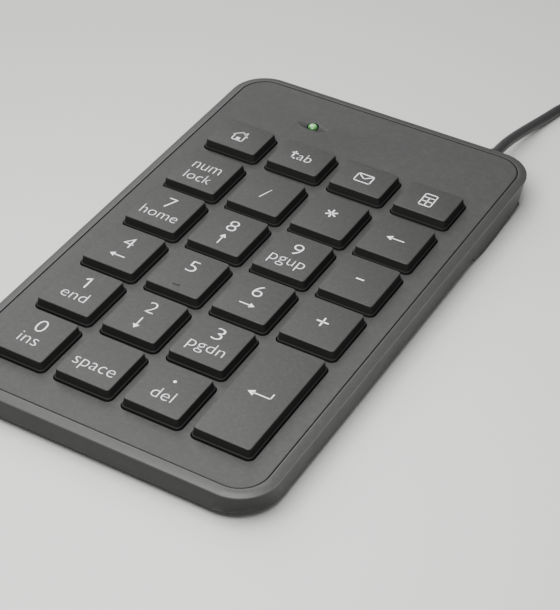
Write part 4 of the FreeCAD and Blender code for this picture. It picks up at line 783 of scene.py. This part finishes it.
homingBar = {"length": 2.0, "width": 0.7, "height": 0.3, "fromCentre": -5.4}
stabiliserTabs = {"apart": 27.0, "thickness": 1.2, "low": 7.0, "high": 11.4,
                  "left": -2.235, "right": 0.365, "post": 0.45, "slotLow": 7.6, "slotHigh": 8.9}


def addBox(mesh, low, high, slant=0.0):
    # a box between two corners, its top drawn in by the slant
    corners = []
    for z, draw in ((low[2], 0.0), (high[2], slant)):
        for x, y in ((0, 0), (1, 0), (1, 1), (0, 1)):
            across = high[0] - draw if x else low[0] + draw
            along = high[1] - draw if y else low[1] + draw
            corners.append(mesh.verts.new((across * mm, along * mm, z * mm)))
    sides = [(0, 1, 5, 4), (1, 2, 6, 5), (2, 3, 7, 6), (3, 0, 4, 7), (3, 2, 1, 0), (4, 5, 6, 7)]
    return [mesh.faces.new([corners[index] for index in side]) for side in sides]


def finishCap(cap, name, x, y):
    # the middle key's raised bar, and the long key's slotted tabs that ride on the wire
    mesh = bmesh.new()
    mesh.from_mesh(cap.data)
    if name == "5":
        bar, top = homingBar, keyShape["top"]
        half, middle = bar["width"] / 2, y + bar["fromCentre"]
        low = (x - bar["length"] / 2, middle - half, top - bar["height"])
        high = (x + bar["length"] / 2, middle + half, top + bar["height"])
        for face in addBox(mesh, low, high, half / 2):
            face.material_index = cap.data.materials.find("key plastic")
    if name == "enter":
        tab = stabiliserTabs
        for side in (-0.5, 0.5):
            near = y + side * tab["apart"] - tab["thickness"] / 2
            far = near + tab["thickness"]
            left, right = x + tab["left"], x + tab["right"]
            addBox(mesh, (left, near, tab["low"]), (right, far, tab["slotLow"]))
            addBox(mesh, (left, near, tab["slotHigh"]), (right, far, tab["high"]))
            addBox(mesh, (left, near, tab["slotLow"]), (left + tab["post"], far, tab["slotHigh"]))
            addBox(mesh, (right - tab["post"], near, tab["slotLow"]), (right, far, tab["slotHigh"]))
    mesh.to_mesh(cap.data)
    mesh.free()


keycapTree = makeKeycapTree(keyShape)
for name, x, y, depth in keyPlaces():
    sizes = {"Depth": depth * mm, "Centre X": x * mm, "Centre Y": y * mm}
    cap = growMesh(keycapTree, f"cap_{name}", sizes)
    if name in ("5", "enter"):
        finishCap(cap, name, x, y)
    cap.data.shade_smooth()
    cap.data.set_sharp_from_angle(angle=math.radians(keyShape["sharpAngle"]))
    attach(cap, f"key_{name}")
    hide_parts(f"key_{name}")
print("keycaps grown")

# printed legends, in millimetres from the key's centre; a word has its text, height, width, baseline and,
# where it isn't centred, its middle; a stroke is a list of corners
legendInk = {"thickness": 0.012, "sink": 0.004, "stroke": 0.3, "bar": 0.42, "letterSteps": 5,
             "letterOffset": -0.018, "dotRadius": 0.42, "dotPlace": (0, 2.7, 0), "dotPoints": 16}
heavyStrokes = ("1", "tab", "plus", "minus", "multiply")
legendWords = {
    "tab": [("ab", 3.3, 4.0, -1.55, 1.1)],
    "num_lock": [("num", 2.65, 8.2, -0.05), ("lock", 3.45, 7.7, -4.95)],
    "divide": [("/", 4.2, 1.7, -2.45)],
    "7": [("7", 4.1, 2.6, 0.35), ("home", 3.45, 10.8, -4.35)],
    "8": [("8", 4.2, 2.7, 0.35)],
    "9": [("9", 4.2, 2.7, 0.35), ("pgup", 3.6, 9.8, -5.25)],
    "4": [("4", 4.1, 2.9, 0.4)],
    "5": [("5", 4.1, 2.6, 0.4)],
    "6": [("6", 4.2, 2.7, 0.4)],
    "1": [("end", 3.4, 7.2, -4.0)],
    "2": [("2", 4.1, 2.6, 0.95)],
    "3": [("3", 4.2, 2.6, 0.95), ("pgdn", 4.6, 9.8, -5.05)],
    "0": [("0", 4.2, 2.7, 0.85), ("ins", 3.4, 5.4, -3.85)],
    "space": [("space", 3.6, 11.3, -4.95)],
    "decimal": [("del", 3.5, 5.7, -3.95)],
}
legendStrokes = {
    "home_page": [[(-2.3, 0.15), (-0.15, 2.0), (2.0, 0.15)], [(-2.25, 0.1), (-0.15, 1.85), (1.95, 0.1)],
                  [(-1.75, 0.3), (-1.75, -2.1), (1.4, -2.1), (1.4, 0.3)], [(1.1, 2.0), (1.1, 1.0)],
                  [(1.25, 2.0), (1.25, 1.0)], [(-0.55, -2.0), (-0.55, -0.85)], [(-0.3, -2.0), (-0.3, -0.85)],
                  [(-0.05, -2.0), (-0.05, -0.85)], [(0.2, -2.0), (0.2, -0.85)]],
    "tab": [[(-2.4, 1.45), (-2.4, -1.1), (-2.1, -1.4), (-1.6, -1.4)], [(-2.95, 0.85), (-1.6, 0.85)]],
    "mail": [[(-2.3, 1.7), (2.3, 1.7), (2.3, -1.7), (-2.3, -1.7), (-2.3, 1.7)],
             [(-2.2, 1.6), (0.0, -0.2), (2.2, 1.6)]],
    "calculator": [[(-1.7, 2.5), (1.7, 2.5), (1.7, -2.5), (-1.7, -2.5), (-1.7, 2.5)],
                   [(-1.6, 1.0), (1.6, 1.0)], [(-1.6, -0.65), (1.6, -0.65)], [(0.0, 0.9), (0.0, -2.4)]],
    "multiply": [[(0.0, 2.3), (0.0, -0.5)], [(-1.25, 1.6), (1.25, 0.2)], [(-1.25, 0.2), (1.25, 1.6)]],
    "1": [[(0.3, 1.15), (0.3, 4.85)], [(-0.75, 4.1), (0.25, 4.8)]],
    "minus": [[(-0.9, 0.2), (0.9, 0.2)]],
    "plus": [[(-1.4, 0.5), (1.4, 0.5)], [(0.0, 1.9), (0.0, -0.9)]],
    "enter": [[(-1.6, -0.7), (3.0, -0.7), (3.0, 0.95)]],
    "backspace": [[(-0.9, -0.3), (2.5, -0.3)]],
    "8": [[(0.0, -2.6), (0.0, -5.3)]],
    "4": [[(-0.6, -3.25), (2.1, -3.25)]],
    "6": [[(-2.1, -3.1), (0.6, -3.1)]],
    "2": [[(0.0, -1.2), (0.0, -3.9)]],
}
legendHeads = {  # arrow heads: the tip, the way it points, its length and its width
    "enter": ((-3.05, -0.7), (-1, 0), 1.7, 2.0), "backspace": ((-2.4, -0.3), (-1, 0), 1.6, 1.9),
    "8": ((0.0, -1.35), (0, 1), 1.35, 1.8), "4": ((-2.05, -3.25), (-1, 0), 1.35, 1.7),
    "6": ((2.05, -3.1), (1, 0), 1.35, 1.7), "2": ((0.0, -5.25), (0, -1), 1.35, 1.8),
}
legendCentres = {"mail": (0.0, 0.05), "calculator": (-0.15, 0.15)}


def wordMesh(text, height, width, baseline, middle=0.0):
    # the built-in typeface, stretched to a size and centred on its baseline
    data = bpy.data.curves.new(f"word {text}", "FONT")
    data.body = text
    data.resolution_u = legendInk["letterSteps"]
    data.offset = legendInk["letterOffset"]
    writer = addObject(f"word {text}", data)
    mesh = bakeMesh(writer)
    bpy.data.objects.remove(writer)
    xs = [vertex.co.x for vertex in mesh.vertices]
    ys = [vertex.co.y for vertex in mesh.vertices]
    across, up = width / (max(xs) - min(xs)), height / (max(ys) - min(ys))
    for vertex in mesh.vertices:
        vertex.co.x = (vertex.co.x - (max(xs) + min(xs)) / 2) * across + middle
        vertex.co.y = (vertex.co.y - min(ys)) * up + baseline
    return mesh


def addStroke(ink, corners, width):
    # a flat band round each run, with square joints
    half = width / 2
    for start, stop in zip(corners, corners[1:]):
        along = Vector((stop[0] - start[0], stop[1] - start[1]))
        along.normalize()
        aside = Vector((-along.y, along.x)) * half
        first, last = Vector(start) - along * half, Vector(stop) + along * half
        outline = [first + aside, first - aside, last - aside, last + aside]
        ink.faces.new([ink.verts.new((point.x, point.y, 0)) for point in outline])


def addHead(ink, tip, way, length, width):
    # a filled arrow head
    tip, way = Vector(tip), Vector(way)
    aside = Vector((-way.y, way.x)) * width / 2
    back = tip - way * length
    ink.faces.new([ink.verts.new((point.x, point.y, 0)) for point in (tip, back + aside, back - aside)])


def makeLegend(name, x, y):
    # words, strokes and heads of one key, given a little thickness on its face
    ink = bmesh.new()
    for word in legendWords.get(name, []):
        mesh = wordMesh(*word)
        ink.from_mesh(mesh)
        bpy.data.meshes.remove(mesh)
    shiftX, shiftY = legendCentres.get(name, (0.0, 0.0))
    width = legendInk["bar"] if name in heavyStrokes else legendInk["stroke"]
    for corners in legendStrokes.get(name, []):
        addStroke(ink, [(across + shiftX, along + shiftY) for across, along in corners], width)
    if name in legendHeads:
        addHead(ink, *legendHeads[name])
    if name == "decimal":
        dotPlace = Matrix.Translation(legendInk["dotPlace"])
        bmesh.ops.create_circle(ink, cap_ends=True, radius=legendInk["dotRadius"],
                                segments=legendInk["dotPoints"], matrix=dotPlace)
    for face in ink.faces:
        if face.normal.z < 0:
            face.normal_flip()
    grown = bmesh.ops.extrude_face_region(ink, geom=ink.faces[:], use_keep_orig=True)
    for item in grown["geom"]:
        if isinstance(item, bmesh.types.BMVert):
            item.co.z += legendInk["thickness"]
    bmesh.ops.recalc_face_normals(ink, faces=ink.faces[:])
    mesh = bpy.data.meshes.new(f"legend_{name}")
    ink.to_mesh(mesh)
    ink.free()
    level = (keyShape["top"] - legendInk["sink"]) * mm
    mesh.transform(Matrix.Translation((x * mm, y * mm, level)) @ Matrix.Scale(mm, 4))
    piece = addObject(f"legend_{name}", mesh)
    dress(piece, looks["legend ink"])
    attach(piece, f"key_{name}")


for name, x, y, depth in keyPlaces():
    makeLegend(name, x, y)
print("legends printed")
